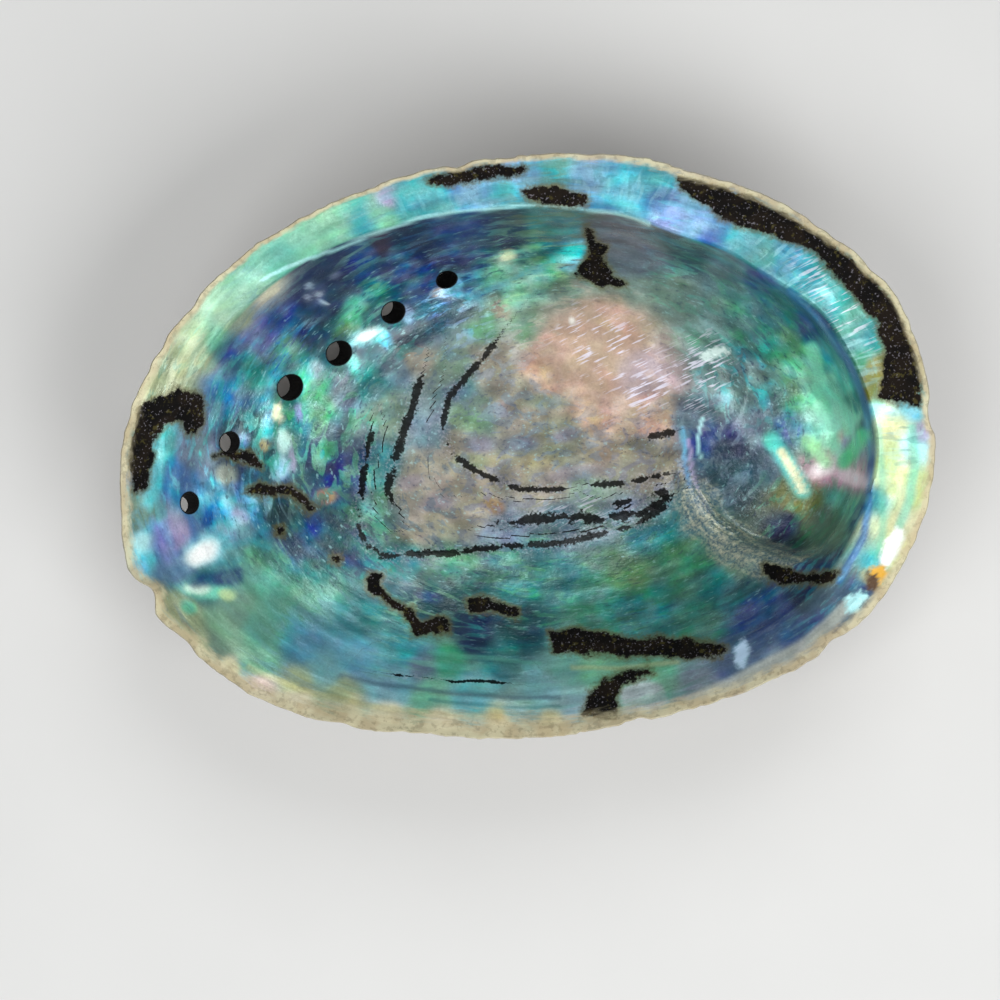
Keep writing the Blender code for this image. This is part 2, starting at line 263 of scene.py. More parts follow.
RIM_CREAM = (196, 188, 154)

# Colours of the back, in the same form
BACK_BROWN = (96, 74, 52)
BACK_OLIVE = (136, 120, 88)
BACK_RUST = (104, 62, 46)
BACK_RIDGE = (176, 166, 136)
BACK_GROOVE = (62, 48, 36)
BACK_CHALK = (196, 186, 160)
BACK_PIT = (44, 36, 28)
WORN_GREY = (104, 122, 118)
WORN_CREAM = (170, 166, 146)

# Soft colours of the bowl and lip, each as place and reach in pixels, and colour. The navy and deep blue
# ones on the wall under the shelf and deep in the pit are partly the nacre's own colour, partly painted
# shade;
# the pale greens on the pit's right wall are partly painted highlight.
BOWL_WASHES = [
    (194, 344, 16, BEIGE_GREEN), (234, 311, 14, BEIGE_GREEN), (266, 290, 12, CREAM),
    (180, 368, 16, BEIGE_GREEN), (165, 390, 12, BEIGE_GREEN), (217, 340, 12, SEA_GREEN),
    (205, 365, 14, BEIGE_GREEN), (282, 314, 18, DEEP_BLUE), (261, 333, 16, VIOLET),
    (232, 352, 14, DEEP_BLUE), (217, 384, 14, BLUE), (254, 366, 10, TEAL), (288, 350, 12, SEA_GREEN),
    # The navy and deep blue washes on the wall under the shelf, from (314, 300) to (505, 230), are partly
    # painted shade
    (314, 300, 16, NAVY), (340, 268, 14, NAVY), (300, 330, 14, NAVY), (373, 290, 7, TEAL),
    (354, 311, 7, SEA_GREEN), (347, 326, 6, (60, 110, 84)), (400, 268, 12, DEEP_BLUE),
    (360, 262, 12, DEEP_BLUE), (381, 246, 10, PURPLE_BROWN), (408, 241, 14, NAVY),
    (462, 230, 16, DEEP_BLUE), (430, 256, 12, NAVY), (505, 230, 16, NAVY), (548, 228, 14, TEAL),
    (416, 283, 10, DEEP_BLUE), (430, 318, 12, (26, 74, 92)), (462, 300, 10, SLATE),
    (483, 322, 9, (76, 124, 104)), (502, 309, 7, TAN), (511, 297, 8, SEA_GREEN),
    (526, 330, 9, (96, 134, 112)), (500, 270, 9, MINT), (541, 276, 9, SEA_GREEN), (572, 256, 8, CYAN),
    (480, 262, 10, DEEP_BLUE), (560, 290, 10, GREY_GREEN), (618, 243, 16, (84, 96, 106)),
    (645, 256, 14, (88, 104, 112)), (605, 270, 10, GREY_GREEN), (690, 250, 16, (34, 78, 88)),
    (633, 290, 12, (104, 128, 118)), (680, 290, 14, (104, 132, 124)), (707, 314, 12, (100, 136, 130)),
    (725, 272, 14, (82, 116, 128)), (740, 308, 14, (74, 132, 130)), (762, 282, 12, DEEP_BLUE),
    (770, 312, 12, TEAL), (790, 300, 14, TEAL), (812, 326, 12, DEEP_BLUE), (760, 340, 16, (58, 112, 112)),
    (786, 352, 12, GREEN), (817, 360, 12, TURQUOISE), (740, 372, 14, (88, 122, 124)),
    # The pale greens at (820, 392), (800, 372) and (838, 420) are partly painted highlight on the pit's
    # right wall
    (775, 392, 12, (60, 124, 124)), (760, 404, 10, (84, 116, 122)), (820, 392, 16, (140, 230, 200)),
    (800, 372, 14, (98, 192, 166)), (845, 380, 10, (86, 184, 188)), (838, 420, 12, (164, 244, 214)),
    (856, 402, 8, TEAL), (862, 430, 6, NAVY), (848, 452, 8, LILAC), (786, 424, 9, BLUE),
    # The navy and dark teal at (731, 446), (740, 474) and (786, 523) are partly painted shade deep in the
    # pit
    (755, 428, 10, GREY_BLUE), (731, 446, 12, NAVY), (740, 474, 12, DARK_TEAL), (706, 440, 12, DEEP_BLUE),
    (694, 415, 10, SLATE), (770, 470, 10, SLATE), (801, 500, 14, OLIVE), (826, 525, 12, GREY_GREEN),
    (786, 523, 10, NAVY), (845, 500, 12, SEA_GREEN), (862, 480, 8, TEAL), (866, 520, 10, DEEP_BLUE),
    (240, 395, 12, BLUE), (262, 384, 12, TURQUOISE), (300, 425, 12, TEAL), (318, 400, 12, GREEN),
    (330, 440, 12, SLATE), (345, 470, 12, DEEP_BLUE), (345, 395, 10, GREY_BLUE), (372, 385, 10, TEAL),
    (395, 365, 9, SLATE), (416, 357, 8, TAN), (385, 410, 10, GREY_GREEN), (250, 430, 12, DARK_TEAL),
    (170, 475, 10, BLUE), (194, 448, 10, GREY_BLUE), (164, 440, 8, TURQUOISE), (215, 520, 12, BLUE),
    (246, 530, 12, (64, 128, 150)), (222, 566, 10, (84, 150, 160)), (180, 566, 10, (92, 130, 170)),
    (172, 540, 10, LILAC), (150, 545, 10, CYAN), (140, 520, 10, GREY_GREEN), (205, 583, 12, TEAL),
    (255, 556, 12, (74, 128, 116)), (261, 576, 12, SEA_GREEN), (285, 520, 12, DARK_TEAL),
    (300, 545, 12, DEEP_BLUE), (322, 570, 14, TEAL), (314, 592, 14, SEA_GREEN),
    (232, 612, 14, (100, 136, 120)), (180, 620, 12, BEIGE_GREEN), (195, 645, 12, BEIGE_GREEN),
    (221, 641, 12, GREY_GREEN), (262, 630, 14, (84, 146, 128)), (285, 612, 14, (74, 134, 118)),
    (300, 641, 14, (66, 122, 150)), (262, 662, 12, MINT), (300, 684, 10, BEIGE_GREEN),
    (330, 672, 12, (100, 158, 160)), (354, 657, 14, (84, 142, 168)), (360, 620, 14, TEAL),
    (340, 545, 10, DARK_TEAL), (400, 650, 12, TURQUOISE), (421, 668, 10, GREY_BLUE), (448, 660, 8, GREEN),
    (395, 686, 12, (116, 172, 192)), (340, 690, 12, BEIGE_GREEN), (475, 700, 12, (96, 168, 176)),
    (430, 703, 12, MINT), (300, 700, 8, CREAM), (345, 706, 8, (206, 200, 160)),
    (390, 712, 8, (210, 204, 170)), (440, 719, 8, CREAM), (500, 722, 8, (204, 196, 146)),
    (550, 724, 8, (200, 192, 140)), (262, 686, 8, (208, 184, 176)), (228, 668, 8, (204, 200, 164)),
    (196, 668, 8, BEIGE_GREEN), (475, 636, 12, NAVY), (500, 660, 12, TEAL), (540, 690, 12, (118, 164, 172)),
    (600, 667, 10, (112, 176, 146)), (560, 670, 10, (104, 160, 154)), (520, 707, 10, (130, 174, 172)),
    (580, 706, 10, (124, 158, 164)), (660, 674, 10, (104, 164, 140)), (700, 690, 14, (112, 126, 138)),
    (740, 672, 14, (72, 96, 130)), (786, 655, 12, GREY_BLUE), (826, 632, 12, DEEP_BLUE),
    (862, 598, 7, SLATE), (790, 628, 14, DEEP_BLUE), (845, 575, 14, NAVY), (838, 600, 10, SLATE),
    (852, 618, 8, GREY_BLUE), (400, 560, 12, TEAL), (440, 590, 14, DARK_TEAL),
    (450, 572, 12, (62, 122, 108)), (520, 580, 16, TEAL), (557, 580, 12, TEAL), (520, 625, 12, DARK_TEAL),
    (590, 600, 14, (60, 124, 112)), (633, 571, 12, (84, 128, 92)), (645, 610, 14, TEAL),
    (688, 560, 14, (56, 124, 92)), (680, 530, 12, TEAL), (720, 590, 14, TEAL), (740, 560, 12, GREY_GREEN),
    (755, 612, 14, DEEP_BLUE), (700, 620, 12, (54, 118, 104)), (810, 600, 12, NAVY),
    (612, 330, 16, PINK_TAN), (590, 370, 20, PINK_TAN), (640, 380, 14, (164, 146, 150)),
    (600, 410, 16, PINK_TAN), (545, 370, 14, PINK_TAN), (650, 415, 14, PINK_TAN), (520, 400, 14, TAN),
    (480, 420, 12, GREY_GREEN), (430, 430, 10, GREY_BLUE), (430, 480, 14, TAN), (470, 500, 16, TAN),
    (520, 440, 12, (112, 124, 120)), (560, 440, 14, (120, 128, 104)), (545, 480, 16, TAN),
    (600, 460, 14, TAN), (575, 340, 14, PINK_TAN), (520, 430, 14, TAN), (470, 450, 14, TAN),
    (590, 490, 14, GREY_GREEN), (650, 460, 14, TAN), (420, 520, 14, TAN), (500, 530, 12, GREY_BLUE),
    (560, 520, 12, SLATE), (620, 520, 12, GREY_BLUE), (640, 540, 12, TEAL), (452, 372, 10, GREY_GREEN),
    (500, 362, 12, TAN), (460, 385, 9, SLATE), (380, 470, 10, TEAL), (375, 520, 10, SEA_GREEN),
]

# Soft colours of the shelf, in the same form
SHELF_WASHES = [
    (252, 290, 12, MINT), (304, 250, 16, MINT), (335, 230, 14, MINT), (285, 262, 12, SEA_GREEN),
    (357, 226, 12, TURQUOISE), (381, 216, 10, MINT), (386, 202, 6, LILAC), (412, 205, 12, TURQUOISE),
    (435, 196, 12, TURQUOISE), (475, 194, 12, SKY), (505, 197, 10, TURQUOISE), (450, 188, 8, BLUE),
    (520, 178, 10, SKY), (560, 172, 10, TURQUOISE), (555, 198, 8, OLIVE_BROWN), (540, 208, 10, TEAL),
    (587, 171, 12, SKY), (620, 190, 12, (84, 168, 188)), (600, 210, 10, BLUE), (648, 180, 12, TURQUOISE),
    (660, 200, 10, BLUE), (676, 207, 10, (122, 146, 194)), (700, 212, 10, SKY), (720, 225, 10, BLUE),
    (743, 232, 10, TURQUOISE), (765, 256, 10, (58, 130, 128)), (783, 254, 10, (48, 120, 152)),
    (811, 276, 12, (48, 134, 154)), (832, 308, 12, (52, 140, 144)), (850, 330, 12, (62, 142, 124)),
    (863, 340, 12, (50, 144, 150)), (858, 356, 10, (48, 124, 98)), (872, 372, 8, OLIVE),
    (880, 385, 8, OLIVE_BROWN), (864, 396, 7, OLIVE), (850, 345, 10, (48, 132, 136)), (875, 400, 8, MINT),
    (869, 412, 8, CYAN), (890, 422, 12, (196, 208, 146)), (909, 406, 8, CYAN), (915, 446, 8, PALE_CYAN),
    (921, 434, 6, LILAC), (902, 490, 14, (190, 206, 140)), (905, 526, 10, (204, 204, 160)),
    (893, 553, 10, PALE_YELLOW), (885, 450, 12, (186, 208, 148)), (880, 500, 8, TURQUOISE),
    (875, 560, 8, TURQUOISE), (873, 580, 6, GOLD), (856, 606, 8, SLATE), (866, 590, 7, DEEP_BLUE),
    (900, 575, 8, BEIGE_GREEN),
]

# Soft ovals laid over them, each as place, half length, half width, turn in degrees, colour and strength
BOWL_TOUCHES = [
    (476, 295, 10, 5, 20, BLUE, 0.8), (320, 370, 9, 7, 0, GREY_BLUE, 0.9),
    (238, 514, 12, 9, 20, LILAC, 0.7), (228, 505, 8, 14, 20, CYAN, 0.6), (530, 248, 12, 5, -20, MINT, 0.7),
    (328, 496, 9, 6, 20, TAN, 0.8), (814, 372, 5, 20, -10, MINT, 0.9), (824, 405, 6, 26, -12, GREEN, 0.9),
    (832, 440, 6, 14, -20, MINT, 0.8), (757, 438, 12, 5, 60, GREY_BLUE, 0.6),
    (572, 320, 4, 4, 0, WHITE, 0.5), (612, 318, 16, 8, 20, PINK, 0.2), (790, 345, 24, 7, 30, GREEN, 0.6),
    (586, 262, 8, 14, 20, OLIVE_BROWN, 0.6), (309, 550, 16, 7, 20, DEEP_BLUE, 0.7),
    (349, 561, 14, 6, 20, DEEP_BLUE, 0.6), (429, 598, 14, 6, 10, DEEP_BLUE, 0.7),
    (448, 665, 40, 4, 6, SEA_GREEN, 0.6), (786, 663, 14, 6, -20, CREAM, 0.6),
    (803, 645, 10, 5, -40, LILAC, 0.6), (741, 655, 5, 12, 10, PALE_CYAN, 0.6),
    (488, 504, 12, 9, 0, TAN, 0.9), (596, 567, 9, 7, 0, GREY_GREEN, 0.5),
    # Painted highlights at the left end: a white spot in a pale cyan halo, and pale mint streaks below it
    (224, 529, 22, 12, -42, (84, 178, 196), 0.85), (211, 546, 27, 16, -30, (104, 196, 220), 0.9),
    (205, 552, 21, 13, -26, (176, 232, 238), 0.95), (203, 554, 17, 10, -25, (252, 255, 253), 1.0),
    (206, 590, 27, 9, 4, (116, 216, 186), 0.9), (196, 589, 13, 5, 0, (222, 248, 230), 0.85),
    (227, 594, 10, 6, 5, (196, 216, 146), 0.7), (187, 608, 9, 7, 20, (96, 200, 166), 0.8),
    # Painted highlights by the holes, in pale yellow, white, cyan and lilac
    (228, 474, 11, 10, 30, (176, 190, 170), 0.9), (245, 443, 6, 8, 10, (108, 170, 214), 0.9),
    (267, 428, 7, 15, 5, CYAN, 0.85), (277, 413, 6, 11, 8, (240, 242, 200), 1.0),
    (282, 440, 8, 12, -8, (178, 230, 226), 0.95), (279, 466, 8, 14, 0, (136, 188, 216), 0.9),
    (292, 456, 4, 14, 0, LILAC, 0.6), (264, 446, 5, 7, 10, (184, 178, 110), 0.7),
    (300, 388, 5, 8, 10, (84, 196, 210), 0.8), (299, 411, 5, 8, 0, (150, 140, 190), 0.6),
    (318, 369, 9, 9, 20, (124, 138, 148), 0.9), (326, 497, 9, 8, 0, (172, 140, 100), 0.8),
    (356, 430, 9, 9, 0, (120, 150, 150), 0.8), (439, 292, 8, 4, -20, (180, 160, 140), 0.8),
    # More painted highlights by the holes, in white, cyan and pale blue
    (352, 360, 13, 6, 80, (70, 214, 196), 0.85), (366, 336, 20, 9, -20, (120, 214, 224), 0.9),
    (368, 333, 12, 5, -25, (226, 248, 246), 0.95), (386, 338, 12, 6, 60, (70, 178, 232), 0.85),
    (409, 314, 9, 6, 70, (150, 190, 226), 0.85), (482, 444, 18, 9, -10, (88, 86, 116), 0.65),
    (521, 442, 17, 8, -5, (86, 82, 114), 0.7), (564, 434, 16, 8, -10, (94, 86, 118), 0.65),
    (497, 409, 18, 8, 0, (116, 102, 114), 0.55), (437, 503, 20, 10, -10, (112, 98, 122), 0.55),
    (412, 482, 14, 9, 0, (116, 106, 126), 0.5), (572, 473, 30, 8, -8, (116, 106, 126), 0.55),
    (466, 421, 20, 12, 20, (86, 138, 98), 0.55), (548, 402, 26, 8, 0, (88, 124, 100), 0.55),
    (642, 446, 20, 9, 5, (76, 86, 66), 0.6), (520, 460, 38, 7, 0, (136, 132, 88), 0.55),
    (470, 461, 18, 9, 0, (100, 130, 92), 0.45), (604, 454, 30, 7, 0, (130, 118, 82), 0.5),
    # The pink and near white ovals round (835, 465) are a painted highlight in the pit, and the pale ovals
    # at (459, 285) and (508, 257) painted highlights by the holes
    (492, 506, 12, 8, 20, (126, 92, 58), 0.85), (838, 472, 42, 19, 8, (214, 150, 176), 0.85),
    (824, 469, 17, 10, -25, (252, 238, 240), 1.0), (853, 477, 17, 9, 20, (250, 226, 234), 0.95),
    (835, 447, 18, 5, -62, (216, 172, 160), 0.75), (459, 285, 6, 8, 10, (120, 184, 214), 0.8),
    (508, 257, 9, 6, -15, (216, 224, 184), 0.9), (466, 297, 20, 4, 12, CYAN, 0.5),
    # The small pale specks round (315, 295) are painted highlights
    (310, 287, 4, 3, 20, (176, 194, 214), 0.8), (317, 296, 4, 3, -30, (190, 206, 220), 0.8),
    (308, 300, 3, 4, 0, (164, 182, 206), 0.8), (321, 304, 5, 2, 30, (180, 198, 214), 0.7),
    (336, 276, 8, 2, -35, (96, 110, 140), 0.7), (143, 543, 9, 8, 0, PALE_CYAN, 0.9),
    (163, 532, 7, 14, 20, (140, 140, 200), 0.7), (209, 499, 5, 9, 10, SKY, 0.6),
    (760, 677, 30, 7, -18, (150, 162, 160), 0.75), (812, 645, 22, 7, -38, (164, 164, 152), 0.75),
    (690, 703, 34, 6, -12, BEIGE_GREEN, 0.6), (842, 616, 12, 6, -48, (170, 176, 170), 0.6),
]
SHELF_TOUCHES = [
    (826, 296, 12, 5, 50, (120, 206, 220), 0.6), (800, 262, 10, 5, 40, (104, 190, 216), 0.5),
    # The near white, cream and pale cyan ovals at the shelf's right end are partly painted highlight
    (903, 505, 6, 24, -5, (236, 236, 206), 0.35), (902, 424, 14, 14, 0, CREAM, 0.3),
    (888, 409, 20, 4, 10, PALE_CYAN, 0.7), (912, 470, 4, 30, 0, GOLD, 0.5),
]

# The shelf's inner edge and the middle of the fold's crust, as points in pixels
SHELF_EDGE_LEFT = [
    (262, 280), (271, 274), (320, 255), (368, 236), (421, 218), (475, 210), (520, 206), (570, 207),
    (615, 213), (650, 225),
]
SHELF_EDGE_RIGHT = [
    (790, 292), (817, 318), (847, 360), (866, 409), (870, 461), (869, 507), (863, 538), (840, 580),
]
FOLD_BAND = [
    (694, 500), (706, 520), (723, 536), (745, 548), (768, 557), (798, 563), (831, 556), (855, 533),
    (868, 508),
]

# Streaks laid over the ovals and plates, each as points, half width in pixels, colour and strength.
# The pale lines along the shelf's edges and down the fold's left edge are painted highlights, the blue line
# inside the shelf's right edge is painted shade, and the bright streaks on the pit's walls are partly
# painted highlight.
STREAKS = [
    # Painted highlight along the shelf's left edge; along its right edge, painted shade in blue under a
    # painted highlight in sky blue
    (SHELF_EDGE_LEFT, 2.0, PALE_CYAN, 0.75), (SHELF_EDGE_RIGHT, 4.0, BLUE, 0.9),
    (SHELF_EDGE_RIGHT, 1.6, SKY, 0.7), ([(683, 428), (685, 464), (692, 495), (703, 514)], 2.2, SKY, 0.9),
    # Painted highlights down the fold's left edge, in sky blue, lilac and pale cyan
    ([(689, 440), (691, 468), (699, 494), (710, 512)], 1.8, LILAC, 0.8),
    ([(702, 418), (698, 440), (700, 458)], 2.0, PALE_CYAN, 0.8),
    # Bright streaks on the pit's walls: partly the nacre's green and yellow, partly painted highlight
    ([(772, 440), (788, 462), (802, 490)], 9.0, (92, 226, 214), 0.9),
    ([(782, 452), (793, 470), (802, 490)], 4.5, (252, 254, 206), 1.0),
    ([(808, 440), (818, 452), (826, 462)], 7.0, (170, 240, 180), 0.9),
    ([(812, 348), (818, 372), (816, 400)], 6.0, (120, 222, 190), 0.8),
    ([(818, 404), (828, 424), (834, 446)], 5.0, (170, 244, 214), 0.9),
    ([(862, 436), (852, 452), (844, 462)], 8.0, (96, 222, 168), 0.9),
    ([(812, 352), (818, 378), (824, 404), (830, 432), (836, 450)], 8.0, (140, 234, 196), 0.7),
    ([(760, 270), (790, 296), (812, 326)], 3.0, BLUE, 0.5),
    ([(470, 300), (500, 285), (540, 268), (575, 252)], 3.0, CYAN, 0.4),
    ([(178, 498), (190, 520), (196, 540)], 4.0, BLUE, 0.7),
    ([(224, 548), (250, 540), (268, 548)], 4.0, TURQUOISE, 0.5),
    ([(572, 668), (620, 668), (679, 662)], 2.6, (168, 176, 120), 0.5),
    ([(912, 428), (915, 466), (909, 500), (899, 526)], 5.0, (112, 212, 186), 0.65),
    ([(879, 426), (882, 474), (883, 518), (878, 556)], 4.0, (104, 190, 164), 0.55),
    ([(690, 700), (730, 684), (768, 663), (800, 647), (828, 627), (850, 604)], 6.5, (166, 172, 162), 0.8),
    ([(430, 652), (480, 658), (540, 663)], 2.4, SEA_GREEN, 0.5),
    ([(250, 668), (300, 690), (360, 704), (430, 714), (500, 718)], 3.5, GOLD, 0.35),
    ([(340, 676), (420, 690), (500, 698), (560, 698)], 2.4, SLATE, 0.6),
    ([(430, 700), (500, 708), (560, 706)], 2.0, TEAL, 0.5),
]

# Soft edged plates of colour, each as outline in pixels, colour, strength and softness in pixels
PLATES = [
    ([(187, 582), (202, 574), (240, 568), (240, 582), (210, 587), (191, 588)], DEEP_BLUE, 0.85, 4),
    ([(149, 450), (166, 452), (162, 487), (151, 513), (143, 506)], (84, 180, 190), 0.9, 5),
    ([(133, 536), (157, 535), (158, 551), (138, 554)], PALE_CYAN, 0.8, 6),
    ([(153, 518), (170, 530), (183, 555), (168, 566), (150, 548)], (104, 120, 190), 0.7, 6),
    ([(305, 446), (325, 438), (338, 452), (334, 472), (316, 478), (303, 464)], NAVY, 0.7, 5),
    ([(315, 450), (326, 447), (330, 458), (322, 468), (314, 462)], TURQUOISE, 0.9, 3),
    ([(262, 380), (290, 360), (330, 340), (352, 352), (330, 372), (290, 402),
     (268, 400)], TURQUOISE, 0.35, 8),
    ([(620, 690), (640, 678), (662, 684), (668, 700), (655, 712), (625, 719)], (164, 176, 180), 0.9, 4),
    # Pale green on the pit's right wall: partly the nacre's colour, partly painted highlight
    ([(790, 352), (812, 346), (824, 380), (836, 446), (820, 440), (806, 400)], (130, 226, 190), 0.5, 8),
    ([(196, 612), (214, 630), (232, 652), (262, 668), (250, 640), (222, 608)], (116, 162, 130), 0.6, 8),
    ([(392, 336), (412, 330), (432, 336), (424, 347), (400, 348)], NAVY, 0.8, 4),
    ([(360, 312), (380, 306), (382, 326), (366, 330)], NAVY, 0.6, 4),
    ([(306, 282), (324, 285), (322, 306), (307, 308)], (84, 100, 134), 0.5, 5),
    ([(590, 232), (640, 232), (664, 262), (650, 280), (618, 276), (600, 255)], (88, 98, 108), 0.85, 5),
    ([(868, 360), (884, 350), (889, 372), (880, 398), (864, 404), (858, 396)], (112, 118, 30), 0.85, 5),
]

# Crisp marks, each as outline in pixels and colour, the uppermost last: the white and pale ones are painted
# highlights, the amber and dark brown ones flecks of the shell's own colour
GLINTS_AND_FLECKS = [
    ([(886, 540), (897, 528), (904, 534), (896, 556), (884, 570), (880, 562)], WHITE),
    ([(872, 568), (884, 564), (888, 574), (880, 584), (872, 580)], AMBER),
    ([(868, 574), (878, 574), (880, 590), (868, 590)], (70, 40, 16)),
    ([(847, 600), (860, 592), (868, 596), (858, 610), (848, 613)], PALE_CYAN),
    ([(736, 648), (744, 640), (748, 650), (742, 668), (736, 664)], (170, 196, 220)),
    ([(700, 354), (724, 348), (728, 352), (704, 360)], (210, 232, 226)),
]

# Where the nacre is smooth, as place and reach in pixels and how smooth, from 0 to 1
CALM = [
    (240, 620, 70, 0.92), (330, 660, 80, 0.88), (450, 690, 80, 0.86), (580, 690, 80, 0.8),
    (600, 350, 60, 0.7), (560, 600, 70, 0.45), (680, 590, 70, 0.5), (630, 255, 40, 0.7),
    (720, 290, 60, 0.4), (800, 500, 50, 0.5), (300, 255, 60, 0.9), (225, 300, 50, 0.9), (740, 470, 50, 0.4),
    (200, 345, 50, 0.7), (810, 610, 60, 0.4),
]

# Where the shelf carries short pale bars, each as place, half length, half width, turn and strength
BARRED = [
    (800, 275, 70, 22, 45, 1.0), (855, 350, 40, 22, 60, 0.8), (630, 185, 60, 18, 5, 0.7),
    (900, 440, 40, 26, 90, 0.7), (450, 198, 80, 14, -10, 0.4),
]

# Colours that show in crisp mottles over the soft ones, as place and reach in pixels, and colour
ACCENTS = [
    (200, 350, 30, SEA_GREEN), (265, 320, 34, BLUE), (330, 285, 30, NAVY), (430, 245, 34, (44, 84, 132)),
    (365, 300, 18, SEA_GREEN), (400, 320, 16, TEAL), (450, 300, 16, SKY), (520, 275, 24, MINT),
    (620, 250, 26, GREY_BLUE), (700, 290, 34, SEA_GREEN), (790, 320, 34, GREEN), (750, 385, 28, TURQUOISE),
    (715, 460, 30, GREY_BLUE), (800, 505, 26, GREEN), (600, 350, 36, (206, 172, 146)),
    (545, 430, 40, GREY_BLUE), (500, 480, 40, (104, 106, 128)), (630, 470, 30, (104, 106, 128)),
    (430, 460, 34, SLATE), (420, 530, 26, SLATE), (345, 450, 26, SEA_GREEN), (300, 410, 26, GREEN),
    (240, 410, 30, TURQUOISE), (175, 470, 26, CYAN), (230, 515, 26, SKY), (180, 560, 26, (60, 100, 150)),
    (260, 585, 34, MINT), (330, 555, 30, NAVY), (300, 645, 34, SKY), (400, 665, 34, MINT),
    (500, 640, 30, TEAL), (530, 590, 34, GREEN), (640, 590, 44, (44, 112, 84)), (720, 590, 30, DARK_TEAL),
    (765, 640, 30, GREY_BLUE), (830, 610, 30, TURQUOISE), (600, 695, 34, SEA_GREEN),
    (440, 705, 34, BEIGE_GREEN), (310, 250, 34, (150, 206, 180)), (430, 195, 34, TURQUOISE),
    (560, 190, 34, OLIVE), (650, 190, 30, CYAN), (740, 235, 30, (70, 148, 160)),
    (830, 310, 30, (66, 160, 150)), (895, 470, 34, (160, 222, 196)),
]

# Where short pale dashes show, painted highlights on the scar and the shelf, in the same form as the bars,
# and which way they run
DASH_HIGHLIGHT_PLACES = [
    (610, 352, 62, 34, 30, 1.0), (645, 390, 40, 22, -30, 1.0), (700, 370, 30, 40, 0, 0.9),
    (610, 318, 40, 10, 10, 0.6), (835, 300, 60, 18, 50, 0.8), (580, 510, 60, 20, 0, 0.4),
]
DASH_HIGHLIGHT_TURN = 18.4

# Dark growth lines on the scar and below it, each as points and half width in pixels
DARK_LINES = [
    ([(370, 432), (362, 485), (357, 523), (368, 547), (381, 555), (448, 554), (502, 547), (541, 545),
     (602, 535), (640, 522), (664, 507)], 2.4),
    ([(419, 384), (412, 410), (400, 443), (392, 470), (388, 491), (393, 500)], 3.0),
    ([(492, 345), (470, 372), (448, 400), (442, 428), (452, 455), (475, 470)], 2.3),
    ([(498, 524), (535, 519), (575, 518), (605, 519), (640, 512), (666, 499)], 3.6),
    ([(596, 484), (627, 483), (667, 475)], 2.4), ([(618, 504), (645, 498), (664, 492)], 2.4),
    ([(651, 437), (672, 432)], 2.4), ([(475, 470), (520, 490), (560, 488)], 2.0),
    ([(395, 675), (450, 681), (502, 684)], 1.0),
]

# Outlines of the brown patches where the nacre is missing, in pixels
BROWN_PATCHES = [
    [(129, 461), (135, 411), (178, 389), (202, 397), (203, 429), (188, 437), (178, 421), (164, 424),
     (151, 445), (148, 486), (135, 491)],
    [(428, 182), (455, 170), (500, 164), (522, 168), (506, 176), (475, 180), (450, 186)],
    [(522, 192), (548, 186), (586, 194), (584, 202), (552, 204), (528, 200)],
    [(679, 178), (710, 183), (760, 199), (811, 229), (845, 252), (878, 284), (905, 325), (922, 356),
     (921, 406), (878, 396), (887, 352), (875, 321), (853, 296), (832, 272), (817, 253), (786, 241),
     (755, 229), (725, 220), (700, 201), (682, 188)],
    [(584, 229), (590, 227), (593, 244), (606, 250), (601, 262), (618, 281), (624, 285), (602, 285),
     (575, 272), (584, 262), (590, 250)],
    [(216, 455), (232, 450), (258, 458), (262, 470), (250, 468), (234, 458)],
    [(244, 492), (258, 485), (293, 485), (303, 494), (316, 508), (312, 514), (298, 500), (285, 494),
     (262, 497)],
    [(368, 572), (387, 572), (378, 586), (392, 598), (408, 607), (420, 622), (446, 622), (448, 632),
     (414, 634), (404, 612), (384, 600), (368, 590)],
    [(467, 600), (480, 597), (500, 606), (518, 610), (514, 616), (492, 612), (474, 612)],
    [(551, 632), (575, 628), (618, 636), (694, 641), (730, 648), (722, 656), (691, 658), (618, 655),
     (553, 652)],
    [(582, 716), (590, 694), (606, 678), (648, 668), (652, 674), (621, 684), (613, 700), (619, 721)],
    [(762, 564), (776, 567), (800, 573), (828, 575), (838, 572), (830, 582), (800, 585), (770, 581)],
    [(274, 527), (282, 527), (283, 535), (275, 535)], [(332, 556), (340, 554), (341, 561), (333, 562)],
]

# How far, in pixels, noise moves the marks, with its layers as lump size in millimetres, seed and strength
MARK_SWAY = 6.0
SWAY_ACROSS = [(7.0, 21.0, 1.0), (2.5, 31.0, 0.5)]
SWAY_DOWN = [(7.0, 41.0, 1.0), (2.5, 51.0, 0.5)]

# The share of that sway which each kind of mark takes
TOUCH_SWAY = 0.6
PLATE_SWAY = 0.5
STREAK_SWAY = 0.25
GLINT_AND_FLECK_SWAY = 0.2
LINE_SWAY = 0.3

# How steeply the ovals end, and the colour sum from which a pale place counts as a painted highlight
TOUCH_EDGE = 2.2
PALE_FROM = 1.2

# How far within the shelf's edge, inwards and down, points still count as the shelf, and how smooth it is
SHELF_SLACK = (0.25, 0.8)
SHELF_CALM = 0.6
CALM_LIMIT = 0.9

# The crust on the fold, by pixels across the frame and height: where it widens, thins and stops
FOLD_WIDENING = 0.72
FOLD_WIDE_PART = (740, 800)
FOLD_THINNING = 5
FOLD_THIN_PART = (750, 810)
FOLD_CUT = 40
FOLD_TOP = (21, 25)

# How wide the rim's dull cream edge is, as angle in degrees and millimetres
RIM_BAND = [
    (0, 1.0), (45, 1.3), (90, 0.7), (130, 0.7), (170, 1.2), (210, 2.0), (235, 3.0), (265, 3.2), (285, 1.9),
    (305, 1.8), (330, 1.5)
]

# Noise of the nacre, in lumps to a metre of the shell
BLOTCH_SCALE = 260.0
SPECK_SCALE = 900.0
DUST_SCALE = 2400.0

